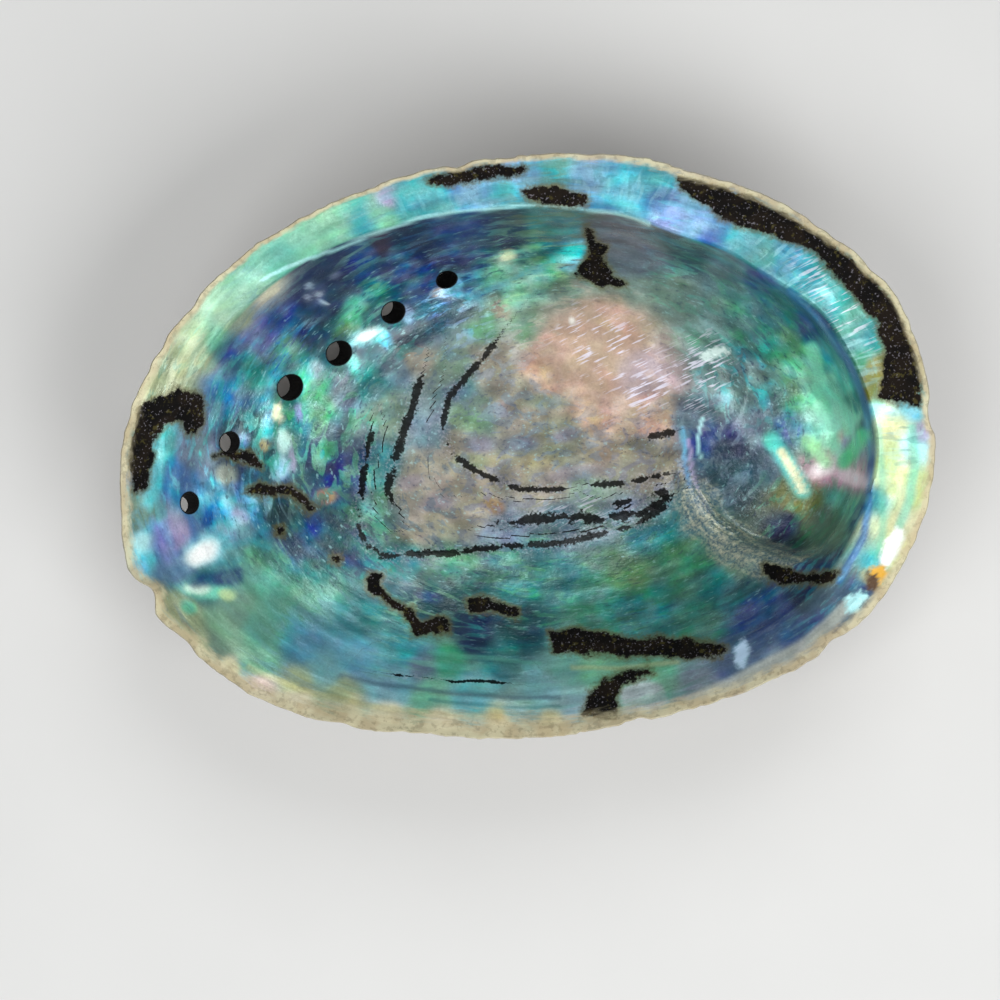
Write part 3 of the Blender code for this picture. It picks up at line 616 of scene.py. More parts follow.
# Noise of the nacre along the growth, in lumps to a unit of the flow
FINE_SCALE = 2.2
MOTTLE_SCALE = 0.62
STREAK_SCALE = 0.42

# How much each speck of dust lightens or darkens the nacre
SANDING = 0.07

# How narrow the painted highlight dashes are along each axis of the shell, and the bars and gaps along those
# of the flow
DASH_HIGHLIGHT_STRETCH = (310.0, 2700.0, 310.0)
BAR_STRETCH = (3.4, 3.4, 0.22)
GAP_STRETCH = (2.9, 2.9, 0.3)

# Where each mark begins and where it is full, by the distances that the mesh carries
GLINT_AND_FLECK_EDGE = (4.5, -2.6)
CRUST_EDGE = (22.0, 7.0)
THREAD_WAVE = 0.9
BARK_BORDER = (7.0, 0.0)
BARK_EDGE = (1.6, -1.4)
GRIT_BESIDE = (5.0, 1.5)
INK_EDGE = (0.35, -0.45)
RIM_FADE = (1.5, 0.3)
# Where the open holes' walls turn to near black, as painted shade
HOLE_SHADE_EDGE = (0.34, 0.12)

# How the surfaces shine: nacre from clean to dull, bare and dark places, and the back from rough to worn
NACRE_ROUGHNESS = (0.30, 0.55)
NACRE_METALLIC = 0.2
NACRE_SPECULAR = 0.4
NACRE_BUMP = 0.0003
BARE_ROUGHNESS = 0.75
DARK_METALLIC = 0.75
BACK_ROUGHNESS = (0.75, 0.5)
BACK_BUMP = 0.0006
WORN_METALLIC = 0.2
WORN_HEIGHT = (0.0006, -0.0006)
SHARP_ANGLE = 60

# The floor: half its side and how far it lies below the shell, in metres, and its two tones
FLOOR_HALF = 2.0
FLOOR_GAP = 0.00002
FLOOR_TONES = ((0.56, 0.56, 0.55, 1.0), (0.59, 0.59, 0.58, 1.0))
FLOOR_ROUGHNESS = 0.8

# The soft surround, and the lights with their places and sizes in metres and their watts
WORLD_COLOUR = (0.9, 0.95, 1.0, 1.0)
WORLD_STRENGTH = 0.14
LIGHTS = [
    ("key", (0.42, -0.55, 0.66), 0.60, 7.6),
    ("fill", (-0.40, -0.25, 0.80), 0.55, 4.8),
    ("top", (0.25, 0.62, 0.78), 0.55, 4.0),
]
LIGHTS_AIM = (0, 0, 0.015)

# Mesh density: spokes round the shell, rings over each part of it, and how they crowd up the wall
SPOKES = 600
WALL_RINGS = 98
SHELF_RINGS = 25
BACK_RINGS = 38
WALL_SHARE = 0.80
WALL_CROWDING = 0.25

# Steps round the shell in tables of its rim, and the step by which slopes are found
PLAN_STEPS = 720
RIM_STEPS = 1440
PROBE = 0.004


def around(angle, stations):
    """The value at these angles, in radians, on a smooth closed curve through the stations."""
    at = np.array([station[0] % 360 for station in stations], float)
    value = np.array([station[1] for station in stations], float)
    order = np.argsort(at)
    at = at[order]
    value = value[order]
    at = np.concatenate([at[-2:] - 360, at, at[:2] + 360])
    value = np.concatenate([value[-2:], value, value[:2]])
    slope = np.gradient(value, at)
    degrees = np.degrees(angle) % 360
    i = np.clip(np.searchsorted(at, degrees, side="right") - 1, 1, len(at) - 3)
    span = at[i + 1] - at[i]
    u = (degrees - at[i]) / span
    eased = u * u * (3 - 2 * u)
    start = u * (1 - u) ** 2
    end = -u * u * (1 - u)
    return (1 - eased) * value[i] + eased * value[i + 1] + span * (start * slope[i] + end * slope[i + 1])


def bell(distance):
    """One at no distance, falling smoothly to none at a distance of one."""
    return (1 - np.clip(np.abs(distance), 0, 1) ** 2) ** 2


def step(value, low, high):
    """A smooth rise from none at low to one at high."""
    t = np.clip((value - low) / (high - low), 0, 1)
    return t * t * (3 - 2 * t)


def turn_between(angle, degrees):
    """The difference from a direction in degrees to an angle in radians, as signed degrees."""
    return (np.degrees(angle) - degrees + 180) % 360 - 180


def cloud(x, y, z, size, seed=0.0):
    """Smooth noise from about -1 to 1, with lumps of about this size."""
    scale = 1 / size
    x, y, z = np.broadcast_arrays(x, y, z)
    points = zip(x.ravel() * scale + seed, y.ravel() * scale - seed, z.ravel() * scale + 2 * seed)
    return np.array([noise.noise(Vector(point)) for point in points]).reshape(x.shape)


def clouds(x, y, z, layers):
    """Layers of noise laid over one another, each given as lump size, seed and strength."""
    return sum(strength * cloud(x, y, z, size, seed) for size, seed, strength in layers)


def swells(angle, bumps):
    """How far bumps on the rim stand out at these angles."""
    away = 0
    for at, half_width, height in bumps:
        away = away + height * np.exp(-((turn_between(angle, at) / half_width) ** 2))
    return away


def outline(angle):
    """The whole rim's distance from the origin at these angles, without its chips."""
    side = step(np.sin(angle), -SIDE_BLEND, SIDE_BLEND)
    power = LIP_SQUARENESS + (SHELF_SQUARENESS - LIP_SQUARENESS) * side
    along = np.abs(np.cos(angle) / HALF_LENGTH) ** power
    across = np.abs(np.sin(angle) / HALF_WIDTH) ** power
    return (along + across) ** (-1 / power) + swells(angle, RIM_SWELLS)


def torn(angle):
    """How far the rim's broken edge lies out from the whole rim: chips, and a finer raggedness."""
    ragged = clouds(HALF_LENGTH * np.cos(angle), HALF_WIDTH * np.sin(angle), 0.0, RIM_TEARS)
    return swells(angle, RIM_CHIPS) + RIM_RAGGEDNESS * ragged


def rim_angle(turn):
    """The direction of the rim point at an eccentric angle, which spaces points well at both ends."""
    return np.arctan2(HALF_WIDTH * np.sin(turn), HALF_LENGTH * np.cos(turn))


def beside_stretches(x, y, path):
    """For each stretch of a path: how far along it points lie, from 0 to 1, their distance and side."""
    for start, end in zip(path[:-1], path[1:]):
        dx = end[0] - start[0]
        dy = end[1] - start[1]
        t = np.clip(((x - start[0]) * dx + (y - start[1]) * dy) / (dx * dx + dy * dy), 0, 1)
        distance = np.hypot(x - start[0] - t * dx, y - start[1] - t * dy)
        yield t, distance, np.sign(dx * (y - start[1]) - dy * (x - start[0]))


def path_distance(x, y, path):
    """The distance to a path in plan, and how far along it the nearest point lies, from 0 to 1."""
    best = np.full(np.shape(x), np.inf)
    along = np.zeros(np.shape(x))
    for i, (t, distance, _) in enumerate(beside_stretches(x, y, path)):
        nearer = distance < best
        best = np.where(nearer, distance, best)
        along = np.where(nearer, (i + t) / (len(path) - 1), along)
    return best, along


def from_apex(x, y):
    """Distance and direction from the spire's apex in plan."""
    dx = x - SPIRE_APEX[0]
    dy = y - SPIRE_APEX[1]
    return np.maximum(np.hypot(dx, dy), APEX_NEAREST), np.arctan2(dy, dx)


def growth(x, y):
    """How far out from the apex a point lies, from 0 to 1 at the rim, and the rim's distance that way."""
    reach, direction = from_apex(x, y)
    angle = np.linspace(0, 2 * math.pi, PLAN_STEPS + 1)
    rim = outline(angle)
    rim_reach, rim_direction = from_apex(rim * np.cos(angle), rim * np.sin(angle))
    order = np.argsort(rim_direction)
    limit = np.interp(direction, rim_direction[order], rim_reach[order], period=2 * math.pi)
    return reach / limit, limit


def spoke(turn):
    """The rim's direction and, from the bowl's centre, the way to the whole rim and its distance."""
    angle = rim_angle(turn)
    reach = outline(angle)
    dx = reach * np.cos(angle) - BOWL_CENTRE[0]
    dy = reach * np.sin(angle) - BOWL_CENTRE[1]
    length = np.hypot(dx, dy)
    return angle, dx / length, dy / length, length


def pit(x, y, height):
    """The bowl's height with the spire's pit sunk in it."""
    dx = x - PIT_CENTRE[0]
    dy = y - PIT_CENTRE[1]
    open_side = bell(turn_between(np.arctan2(dy, dx), PIT_OPEN_SIDE) / PIT_OPEN_SPREAD)
    distance = np.hypot(dx, dy) / (PIT_REACH * (1 + PIT_OPENING * open_side))
    share = np.clip((x - PIT_LOW[0]) / (PIT_HIGH[0] - PIT_LOW[0]), 0, PIT_SHARE_LIMIT)
    bottom = PIT_LOW[1] + (PIT_HIGH[1] - PIT_LOW[1]) * share + PIT_RISE * np.maximum(y - PIT_RISE_FROM, 0)
    return height + np.minimum(bottom - height, 0) * step(1 - distance, 0.0, PIT_SOFTNESS)


BROKEN_EDGE = torn(rim_angle(np.linspace(0, 2 * math.pi, RIM_STEPS + 1)))


def torn_share(turn, share, start):
    """The rim's broken edge, faded out towards the bowl so that it makes no grooves there."""
    fine = np.linspace(0, 2 * math.pi, RIM_STEPS + 1)
    broken = np.interp(turn, fine, BROKEN_EDGE, period=2 * math.pi)
    return broken * step(share, start, 1)


def nacre_base(turn, share):
    """The nacre side without its relief: share runs from 0 at the bowl's centre to 1 at the rim."""
    angle, out_x, out_y, length = spoke(turn)
    width = around(angle, SHELF_WIDTH)
    ledge = np.clip(around(angle, SHELF_SHARE), 0, 1)
    rim_height = around(angle, RIM_HEIGHT)
    edge_height = rim_height - (SHELF_FALL * ledge + LIP_FLARE_FALL * (1 - ledge))
    up_wall = np.clip(share / WALL_SHARE, 0, 1)
    over_shelf = np.clip((share - WALL_SHARE) / (1 - WALL_SHARE), 0, 1)
    wall = FLOOR_WALL + INNER_CROWN * up_wall**2
    wall = wall + (edge_height - FLOOR_WALL - INNER_CROWN) * up_wall ** around(angle, INNER_STEEPNESS)
    undercut = np.clip(around(angle, UNDERCUT), 0, None) * bell((up_wall - UNDERCUT_AT) / UNDERCUT_SPREAD)
    reach = (length - width) * up_wall + width * over_shelf + undercut
    reach = reach + torn_share(turn, over_shelf, CHIPS_FROM_SHELF)
    x = BOWL_CENTRE[0] + out_x * reach
    y = BOWL_CENTRE[1] + out_y * reach
    z = wall + (1 - up_wall**WALL_FADE) * (pit(x, y, wall) - wall)
    z = z + (rim_height - edge_height) * over_shelf + SHELF_CROWN * ledge * np.sin(math.pi * over_shelf)
    return np.stack([x, y, z], -1)


def back_base(turn, share):
    """The back without its relief: share runs from 0 at the crest to 1 at the rim's lower edge."""
    angle, out_x, out_y, length = spoke(turn)
    low_edge = around(angle, RIM_HEIGHT) - RIM_EDGE
    reach = length * share + torn_share(turn, share, CHIPS_FROM_BACK)
    x = BOWL_CENTRE[0] + out_x * reach
    y = BOWL_CENTRE[1] + out_y * reach
    z = OUTER_CROWN * share**2 + (low_edge - OUTER_CROWN) * share ** around(angle, OUTER_STEEPNESS)
    swell = step(1 - np.hypot(x - KNOB_CENTRE[0], y - KNOB_CENTRE[1]) / KNOB_REACH, 0.0, KNOB_SOFTNESS)
    return np.stack([x, y, z + np.minimum(KNOB_FLOOR - z, 0) * swell * (1 - share**BACK_FADE)], -1)


def normals(surface, turn, share):
    """The surface's unit normals, on the side that faces up where the surface is the nacre side."""
    share = np.clip(share, 3 * PROBE, 1 - PROBE)
    sideways = surface(turn + PROBE, share) - surface(turn - PROBE, share)
    outward = surface(turn, share + PROBE) - surface(turn, share - PROBE)
    normal = np.cross(outward, sideways)
    return normal / np.linalg.norm(normal, axis=-1, keepdims=True)


def out_from_bowl(x, y):
    """The level direction in which a hole at this plan point leans."""
    return Vector((x - BOWL_CENTRE[0], y - BOWL_CENTRE[1], 0)).normalized()


def at_holes(x, y, shift, reach, height, row_reach, row_height):
    """A low swell along the row of holes, with a bump at each open hole and a lower one at each sealed."""
    row = []
    for place in HOLES + SEALED_HOLES:
        away = out_from_bowl(place[0], place[1])
        row.append((place[0] + shift * away.x, place[1] + shift * away.y))
    distance, along = path_distance(x, y, row)
    total = row_height * bell(distance / row_reach) * (1 - step(along, *ROW_END))
    for i, place in enumerate(row):
        strength = 1 if i < len(HOLES) else SEALED_STRENGTH
        total = total + strength * height * bell(np.hypot(x - place[0], y - place[1]) / reach)
    return total


def pit_fold(x, y):
    """The raised fold round the pit, strongest where it turns under the shelf."""
    distance, along = path_distance(x, y, PIT_FOLD)
    strength = step(along, *PIT_FOLD_START) * (1 - step(along, *PIT_FOLD_END))
    strength = strength * (PIT_FOLD_FIRST + (1 - PIT_FOLD_FIRST) * along)
    threads = 1 + THREAD_DEPTH * np.cos(2 * math.pi * distance / THREAD_PITCH)
    return PIT_FOLD_HEIGHT * strength * threads * np.exp(-((distance / PIT_FOLD_WIDTH) ** 2))


def in_scar(x, y):
    """How far out in the muscle scar a point lies, with 1 near its edge."""
    turn = math.radians(SCAR_TURN)
    dx = x - SCAR_CENTRE[0]
    dy = y - SCAR_CENTRE[1]
    along = np.abs(dx * math.cos(turn) + dy * math.sin(turn)) / SCAR_REACH[0]
    across = np.abs(dy * math.cos(turn) - dx * math.sin(turn)) / SCAR_REACH[1]
    return (along**SCAR_SQUARENESS + across**SCAR_SQUARENESS) ** (1 / SCAR_SQUARENESS)


def scar(x, y):
    """The raised muscle scar, with two terraces."""
    distance = in_scar(x, y)
    return SCAR_HEIGHT * sum(share * step(edge - distance, 0, soft) for share, edge, soft in SCAR_TERRACES)


def pixel(x, y, z):
    """Where points of the shell lie in the photograph's frame."""
    turn = math.radians(CAMERA_TURN)
    dx = x - CAMERA_AT[0]
    dy = y - CAMERA_AT[1]
    scale = LENS / SENSOR * IMAGE / (CAMERA_AT[2] - z)
    across = IMAGE / 2 + scale * (dx * math.cos(turn) - dy * math.sin(turn))
    down = IMAGE / 2 - scale * (dx * math.sin(turn) + dy * math.cos(turn))
    return across, down


def flow(x, y, z):
    """Coordinates in which noise is drawn out along the shell's growth, round the bowl."""
    dx = (x - BOWL_CENTRE[0]) / HALF_LENGTH
    dy = (y - BOWL_CENTRE[1]) / HALF_WIDTH
    reach = np.sqrt(dx**2 + dy**2 + FLOW_CORE**2)
    return dx / reach * FLOW_STRETCH, dy / reach * FLOW_STRETCH, reach * HALF_WIDTH + FLOW_CLIMB * z


def nacre_fine(x, y, z):
    """The finest relief of the nacre side: ripples along the growth, and the scar's rough skin."""
    along, across, out = flow(x, y, z)
    ripple = clouds(along, across, out * RIPPLE_CLIMB, RIPPLES)
    rough = step(SCAR_SKIN_EDGE[0] - in_scar(x, y), 0, SCAR_SKIN_EDGE[1])
    skin = SCAR_ROUGHNESS * clouds(x, y, z, SCAR_SKIN) * rough
    return NACRE_RIPPLE * ripple * (1 - RIPPLE_CALM * rough) + skin


def nacre_relief(x, y, z, share):
    """The nacre side's relief, measured out from the wall."""
    fade = 1 - (np.clip(share, 0, WALL_SHARE) / WALL_SHARE) ** WALL_FADE
    holes = at_holes(x, y, 0, FUNNEL_REACH, FUNNEL_DEPTH, KEEL_REACH, CHANNEL_DEPTH)
    return fade * (pit_fold(x, y) + scar(x, y) - holes) + nacre_fine(x, y, z)


def back_relief(x, y, z, share):
    """The back's relief, out from the wall: folds, cords, ribs, chimneys and the spire's suture."""
    reach, direction = from_apex(x, y)
    grown, limit = growth(x, y)
    away = step(reach, *FOLDS_FROM) * step(limit, *FOLDS_WHERE_WIDE)
    folds = FOLD_HEIGHT * np.sin(2 * math.pi * FOLD_COUNT * grown**FOLD_CROWDING)
    spiral = direction - np.log(reach) / SPIRAL_PITCH
    cords = CORD_HEIGHT * np.cos(CORD_COUNT * spiral)
    ribs = RIB_HEIGHT * np.cos(RIB_COUNT * spiral) * step(reach, *RIBS_FROM)
    lines = GROWTH_LINE_HEIGHT * cloud(grown * GROWTH_LINES, spiral * 2, z * 0, 1.0, 2.3)
    crust = CRUST_LUMPS * np.maximum(cloud(x, y, z, 4.0, 9.2), 0) + CRUST_GRAINS * cloud(x, y, z, 1.4, 1.7)
    coil = direction - np.log(reach) / SUTURE_PITCH
    suture = SUTURE_DEPTH * np.exp((np.cos(coil) - 1) / SUTURE_WIDTH)
    suture = suture * step(reach, *SUTURE_FROM) * (1 - step(reach, *SUTURE_TO))
    holes = at_holes(x, y, HOLE_SHIFT, CHIMNEY_REACH, CHIMNEY_HEIGHT, KEEL_REACH, KEEL_HEIGHT)
    relief = (folds + cords) * away + ribs * step(limit, *RIBS_FROM) + lines + crust - suture + holes
    lamellae = LAMELLA_HEIGHT * cloud(share * LAMELLAE, spiral * 5, z * 0, 1.0, 4.4)
    lamellae = lamellae * step(share, *LAMELLAE_FROM) * (1 - step(share, *LAMELLAE_END))
    return relief * (1 - step(share, *BACK_RELIEF_END)) + lamellae


def nacre_point(turn, share):
    """A point of the nacre side."""
    base = nacre_base(turn, share)
    relief = nacre_relief(base[..., 0], base[..., 1], base[..., 2], share)
    return base + normals(nacre_base, turn, share) * relief[..., None]


def back_point(turn, share):
    """A point of the back, cut level where its worn crest lies on a table."""
    base = back_base(turn, share)
    relief = back_relief(base[..., 0], base[..., 1], base[..., 2], share)
    point = base - normals(back_base, turn, share) * relief[..., None]
    point[..., 2] = np.maximum(point[..., 2] - REST_CUT, 0)
    return point


def rim_point(turn):
    """The middle of the rim's edge."""
    angle, out_x, out_y, length = spoke(turn)
    reach = length + torn_share(turn, 1, 0) + RIM_BULGE
    x = BOWL_CENTRE[0] + out_x * reach
    y = BOWL_CENTRE[1] + out_y * reach
    return np.stack([x, y, around(angle, RIM_HEIGHT) - RIM_EDGE / 2], -1)


def rings_to_faces(first, count, spokes):
    """Four-sided faces between rings of this many points each, from the first ring's first index."""
    ring = np.arange(spokes)
    rows = first + np.arange(count - 1)[:, None] * spokes
    a = rows + ring
    b = rows + (ring + 1) % spokes
    return np.stack([a, a + spokes, b + spokes, b], -1).reshape(-1, 4).tolist()


def shell_mesh():
    """The whole shell as one closed mesh, from the bowl's centre over the rim to the crest of the back."""
    turn = np.linspace(0, 2 * math.pi, SPOKES, endpoint=False)
    up_wall = np.arange(1, WALL_RINGS + 1) / WALL_RINGS
    wall_share = WALL_SHARE * up_wall * (1 + WALL_CROWDING - WALL_CROWDING * up_wall)
    shelf_share = WALL_SHARE + (1 - WALL_SHARE) * np.arange(1, SHELF_RINGS + 1) / SHELF_RINGS
    nacre_share = np.concatenate([wall_share, shelf_share])
    back_share = np.linspace(1, 0, BACK_RINGS, endpoint=False)
    turns, shares = np.meshgrid(turn, nacre_share)
    inner = nacre_point(turns, shares).reshape(-1, 3)
    turns, shares = np.meshgrid(turn, back_share)
    outer = back_point(turns, shares).reshape(-1, 3)
    top = nacre_point(np.zeros(1), np.zeros(1))
    bottom = back_point(np.zeros(1), np.zeros(1))
    points = np.concatenate([top, inner, rim_point(turn), outer, bottom])
    rings = WALL_RINGS + SHELF_RINGS + 1 + BACK_RINGS
    faces = rings_to_faces(1, rings, SPOKES)
    last = 1 + (rings - 1) * SPOKES
    pairs = [(i, (i + 1) % SPOKES) for i in range(SPOKES)]
    centre = [[0, 1 + i, 1 + j] for i, j in pairs]
    crest = [[len(points) - 1, last + j, last + i] for i, j in pairs]
    mesh = bpy.data.meshes.new("shell_look")
    mesh.from_pydata((points * MM).tolist(), [], centre + faces + crest)
    nacre_faces = SPOKES + (WALL_RINGS + SHELF_RINGS) * SPOKES
    sides = np.ones(len(mesh.polygons), int)
    sides[:nacre_faces] = 0
    mesh.polygons.foreach_set("material_index", sides)
    return mesh


def beside_bores(points):
    """How far points lie outside the nearest bore's wall, in millimetres."""
    nearest = np.full(len(points), FAR)
    for x, y, z, bore in HOLES:
        away = out_from_bowl(x, y)
        lean = math.radians(HOLE_LEAN)
        axis = np.array([-away.x * math.sin(lean), -away.y * math.sin(lean), math.cos(lean)])
        offset = points - np.array([x, y, z])
        along = offset @ axis
        taper = np.interp(along / HOLE_DEPTH, (-0.5, 0.5), HOLE_TAPER)
        radial = np.linalg.norm(offset - along[:, None] * axis, axis=1)
        nearest = np.minimum(nearest, radial - taper * bore)
    return nearest


def hole_cutters():
    """Six tapered pins, each leaning out from the bowl, that cut the open holes."""
    bm = bmesh.new()
    for x, y, z, bore in HOLES:
        lean = Matrix.Rotation(math.radians(HOLE_LEAN), 4, out_from_bowl(x, y).cross(Vector((0, 0, 1))))
        middle = Vector((x, y, z)) * MM
        bmesh.ops.create_cone(
            bm,
            cap_ends=True,
            segments=PIN_SIDES,
            radius1=HOLE_TAPER[0] * bore * MM,
            radius2=HOLE_TAPER[1] * bore * MM,
            depth=HOLE_DEPTH * MM,
            matrix=Matrix.Translation(middle) @ lean,
        )
    mesh = bpy.data.meshes.new("hole_cutters")
    bm.to_mesh(mesh)
    bm.free()
    return bpy.data.objects.new("hole_cutters", mesh)


def paint(colour):
    """A colour from 0 to 255 as the light-linear values that shaders use."""
    values = np.array(colour, float) / 255
    return np.where(values <= 0.04045, values / 12.92, ((values + 0.055) / 1.055) ** 2.4)


def laid(colour, share, tint):
    """The points' colours with a tint laid over them as strongly as this."""
    return colour + share[:, None] * (paint(tint) - colour)


def oval_axes(u, v, x, y, turn):
    """How far points lie along and across a turned mark's axes from its middle."""
    a = math.radians(turn)
    along = (u - x) * math.cos(a) + (v - y) * math.sin(a)
    return along, (v - y) * math.cos(a) - (u - x) * math.sin(a)


def washed(u, v, washes):
    """Soft colours blended by how near each place is."""
    total = np.full((len(u), 1), 1e-12)
    colour = np.zeros((len(u), 3))
    for x, y, reach, tint in washes:
        near = ((u - x) ** 2 + (v - y) ** 2) / reach**2
        weight = (1 / (1 + near) ** 3)[:, None]
        total = total + weight
        colour = colour + weight * paint(tint)
    return colour / total


def touched(u, v, colour, touches):
    """Soft ovals laid one over another on the colours."""
    for x, y, long, short, turn, tint, strength in touches:
        along, aside = oval_axes(u, v, x, y, turn)
        share = strength * np.exp(-(((along / long) ** 2 + (aside / short) ** 2) ** TOUCH_EDGE))
        colour = laid(colour, share, tint)
    return colour


def shown_at(u, v, places):
    """How strongly a texture shows, from 0 to 1, round these places."""
    shown = np.zeros(len(u))
    for x, y, long, short, turn, strength in places:
        along, aside = oval_axes(u, v, x, y, turn)
        away = (along / long) ** 2 + (aside / short) ** 2
        shown = np.maximum(shown, strength * np.exp(-(away**1.5)))
    return shown


def across_path(u, v, path):
    """The distance from a path, signed by side so that it changes evenly across it."""
    best = np.full(len(u), np.inf)
    signed = np.zeros(len(u))
    for _, distance, side in beside_stretches(u, v, path):
        nearer = distance < best
        best = np.where(nearer, distance, best)
        signed = np.where(nearer, side * distance, signed)
    return signed


def inside_patch(u, v, patch):
    """The distance to a closed outline, below zero inside it."""
    closed = patch + patch[:1]
    distance = np.abs(across_path(u, v, closed))
    inside = np.zeros(len(u), bool)
    for start, end in zip(closed[:-1], closed[1:]):
        crosses = (start[1] > v) != (end[1] > v)
        drop = (end[1] - start[1]) or 1e-9
        inside ^= crosses & (u < start[0] + (v - start[1]) / drop * (end[0] - start[0]))
    return np.where(inside, -distance, distance)


def shelf_cover(x, y, z):
    """How surely points are on the shelf, from 0 to 1, and how far beyond its inner edge they lie."""
    turn = np.linspace(0, 2 * math.pi, PLAN_STEPS + 1)
    edge = nacre_base(turn, np.full(turn.shape, WALL_SHARE))
    dx = edge[:, 0] - BOWL_CENTRE[0]
    dy = edge[:, 1] - BOWL_CENTRE[1]
    ledge = np.clip(around(rim_angle(turn), SHELF_SHARE), 0, 1)
    direction = np.arctan2(dy, dx)
    order = np.argsort(direction)
    way = np.arctan2(y - BOWL_CENTRE[1], x - BOWL_CENTRE[0])
    edge_reach, edge_height, ledge = [
        np.interp(way, direction[order], value[order], period=2 * math.pi)
        for value in (np.hypot(dx, dy), edge[:, 2], ledge)
    ]
    beyond = np.hypot(x - BOWL_CENTRE[0], y - BOWL_CENTRE[1]) - edge_reach
    above = z - edge_height
    return (beyond > -SHELF_SLACK[0]) * (above > -SHELF_SLACK[1]) * step(ledge, 0.1, 0.8), beyond


def nacre_tones(swayed, on_shelf):
    """The nacre's soft colours, and the share of streaks and pale places, many of them painted highlights,
    from 0 to 1.
    """
    bowl = touched(*swayed(TOUCH_SWAY), washed(*swayed(1), BOWL_WASHES), BOWL_TOUCHES)
    shelf = touched(*swayed(TOUCH_SWAY), washed(*swayed(1), SHELF_WASHES), SHELF_TOUCHES)
    tone = bowl + on_shelf[:, None] * (shelf - bowl)
    for outline_of, tint, strength, soft in PLATES:
        share = strength * (1 - step(inside_patch(*swayed(PLATE_SWAY), outline_of), -soft, soft))
        tone = laid(tone, share, tint)
    streak_and_highlight_share = np.zeros(len(on_shelf))
    for path, half_width, tint, strength in STREAKS:
        share = strength * np.exp(-((across_path(*swayed(STREAK_SWAY), path) / half_width) ** 4))
        tone = laid(tone, share, tint)
        streak_and_highlight_share = np.maximum(streak_and_highlight_share, share)
    return tone, np.maximum(streak_and_highlight_share, np.clip(tone.sum(1) - PALE_FROM, 0, 1))


def glints_and_flecks(swayed, count):
    """The distance to the nearest of the crisp painted highlights and flecks, below zero inside it, and its
    colour.
    """
    nearest = np.full(count, FAR)
    tone = np.zeros((count, 3))
    for outline_of, tint in GLINTS_AND_FLECKS:
        distance = inside_patch(*swayed(GLINT_AND_FLECK_SWAY), outline_of)
        nearer = (distance < nearest) | (distance < 0)
        nearest = np.where(nearer, distance, nearest)
        tone = np.where(nearer[:, None], paint(tint), tone)
    return nearest, tone


def dark_lines(swayed, count):
    """The distance to the nearest dark line in its half widths, signed by side."""
    nearest = np.full(count, FAR)
    for path, half_width in DARK_LINES:
        signed = across_path(*swayed(LINE_SWAY), path) / half_width
        nearest = np.where(np.abs(signed) < np.abs(nearest), signed, nearest)
    return nearest


def crusted_fold(swayed, u, z):
    """The distance to the crust on the fold, which is wide at the left and thin at the right."""
    distance = np.abs(across_path(*swayed(PLATE_SWAY), FOLD_BAND))
    distance = distance * (FOLD_WIDENING + (1 - FOLD_WIDENING) * step(u, *FOLD_WIDE_PART))
    return distance + FOLD_THINNING * step(u, *FOLD_THIN_PART) + FOLD_CUT * step(z, *FOLD_TOP)


def rim_distance(x, y):
    """How far in from the rim a point lies, in millimetres."""
    angle = np.arctan2(y, x)
    return outline(angle) + torn(angle) - np.hypot(x, y)


def mark(mesh):
    """Gives each point of the shell its colours and its distances to the marks."""
    count = len(mesh.vertices)
    flat = np.zeros(count * 3)
    mesh.vertices.foreach_get("co", flat)
    x, y, z = (flat.reshape(-1, 3) / MM).T
    u, v = pixel(x, y, z)
    sway_u = MARK_SWAY * clouds(x, y, z, SWAY_ACROSS)
    sway_v = MARK_SWAY * clouds(x, y, z, SWAY_DOWN)

    def swayed(share):
        """Where the points lie in the photograph's frame, moved by this share of the sway."""
        return u + share * sway_u, v + share * sway_v

    on_shelf, beyond = shelf_cover(x, y, z)
    tone, streak_and_highlight_share = nacre_tones(swayed, on_shelf)
    glint_and_fleck, glint_and_fleck_tone = glints_and_flecks(swayed, count)
    scarred = step(1.22 - in_scar(x, y), 0, 0.2)
    calm = SHELF_CALM * np.maximum(on_shelf, step(beyond, -9.0, -1.0))
    calm = np.maximum(calm, shown_at(u, v, [(*at, at[2], 0, share) for *at, share in CALM]))
    values = {
        "brown": np.min([inside_patch(*swayed(PLATE_SWAY), patch) for patch in BROWN_PATCHES], axis=0),
        "line": dark_lines(swayed, count),
        "rim": rim_distance(x, y) / around(np.arctan2(y, x), RIM_BAND),
        "scar": scarred,
        # Mottles calm down on the scar and under streaks and painted highlights
        "busy": 1 - np.clip(calm + 0.3 * scarred + 0.8 * streak_and_highlight_share, 0, CALM_LIMIT),
        # Where the short pale dashes, painted highlights, show
        "highlight_dashed": shown_at(u, v, DASH_HIGHLIGHT_PLACES),
        "barred": shown_at(u, v, BARRED) * on_shelf,
        "fold": crusted_fold(swayed, u, z),
        "glint_and_fleck": glint_and_fleck,
        # Distance from the holes' bores, for the painted shade on their walls
        "bore": beside_bores(np.stack([x, y, z], 1)),
    }
    tones = {"tone": tone, "accent": washed(*swayed(1), ACCENTS), "glint_and_fleck_tone": glint_and_fleck_tone}
    for name, colours in tones.items():
        rgba = np.concatenate([np.clip(colours, 0, 1), np.ones((count, 1))], 1)
        mesh.attributes.new(name, "FLOAT_COLOR", "POINT").data.foreach_set("color", rgba.ravel())
    ways = np.stack(flow(x, y, z), 1)
    mesh.attributes.new("flow", "FLOAT_VECTOR", "POINT").data.foreach_set("vector", ways.ravel())
    for name, value in values.items():
        mesh.attributes.new(name, "FLOAT", "POINT").data.foreach_set("value", value)


def add(tree, kind, sockets, **settings):
    """A node with these settings and inputs, where an input is a value or another node's output."""
    made = tree.nodes.new(kind)
    for name, value in settings.items():
        setattr(made, name, value)
    for name, value in sockets.items():
        if isinstance(value, bpy.types.NodeSocket):
            tree.links.new(value, made.inputs[name])
        else:
            made.inputs[name].default_value = value
    return made


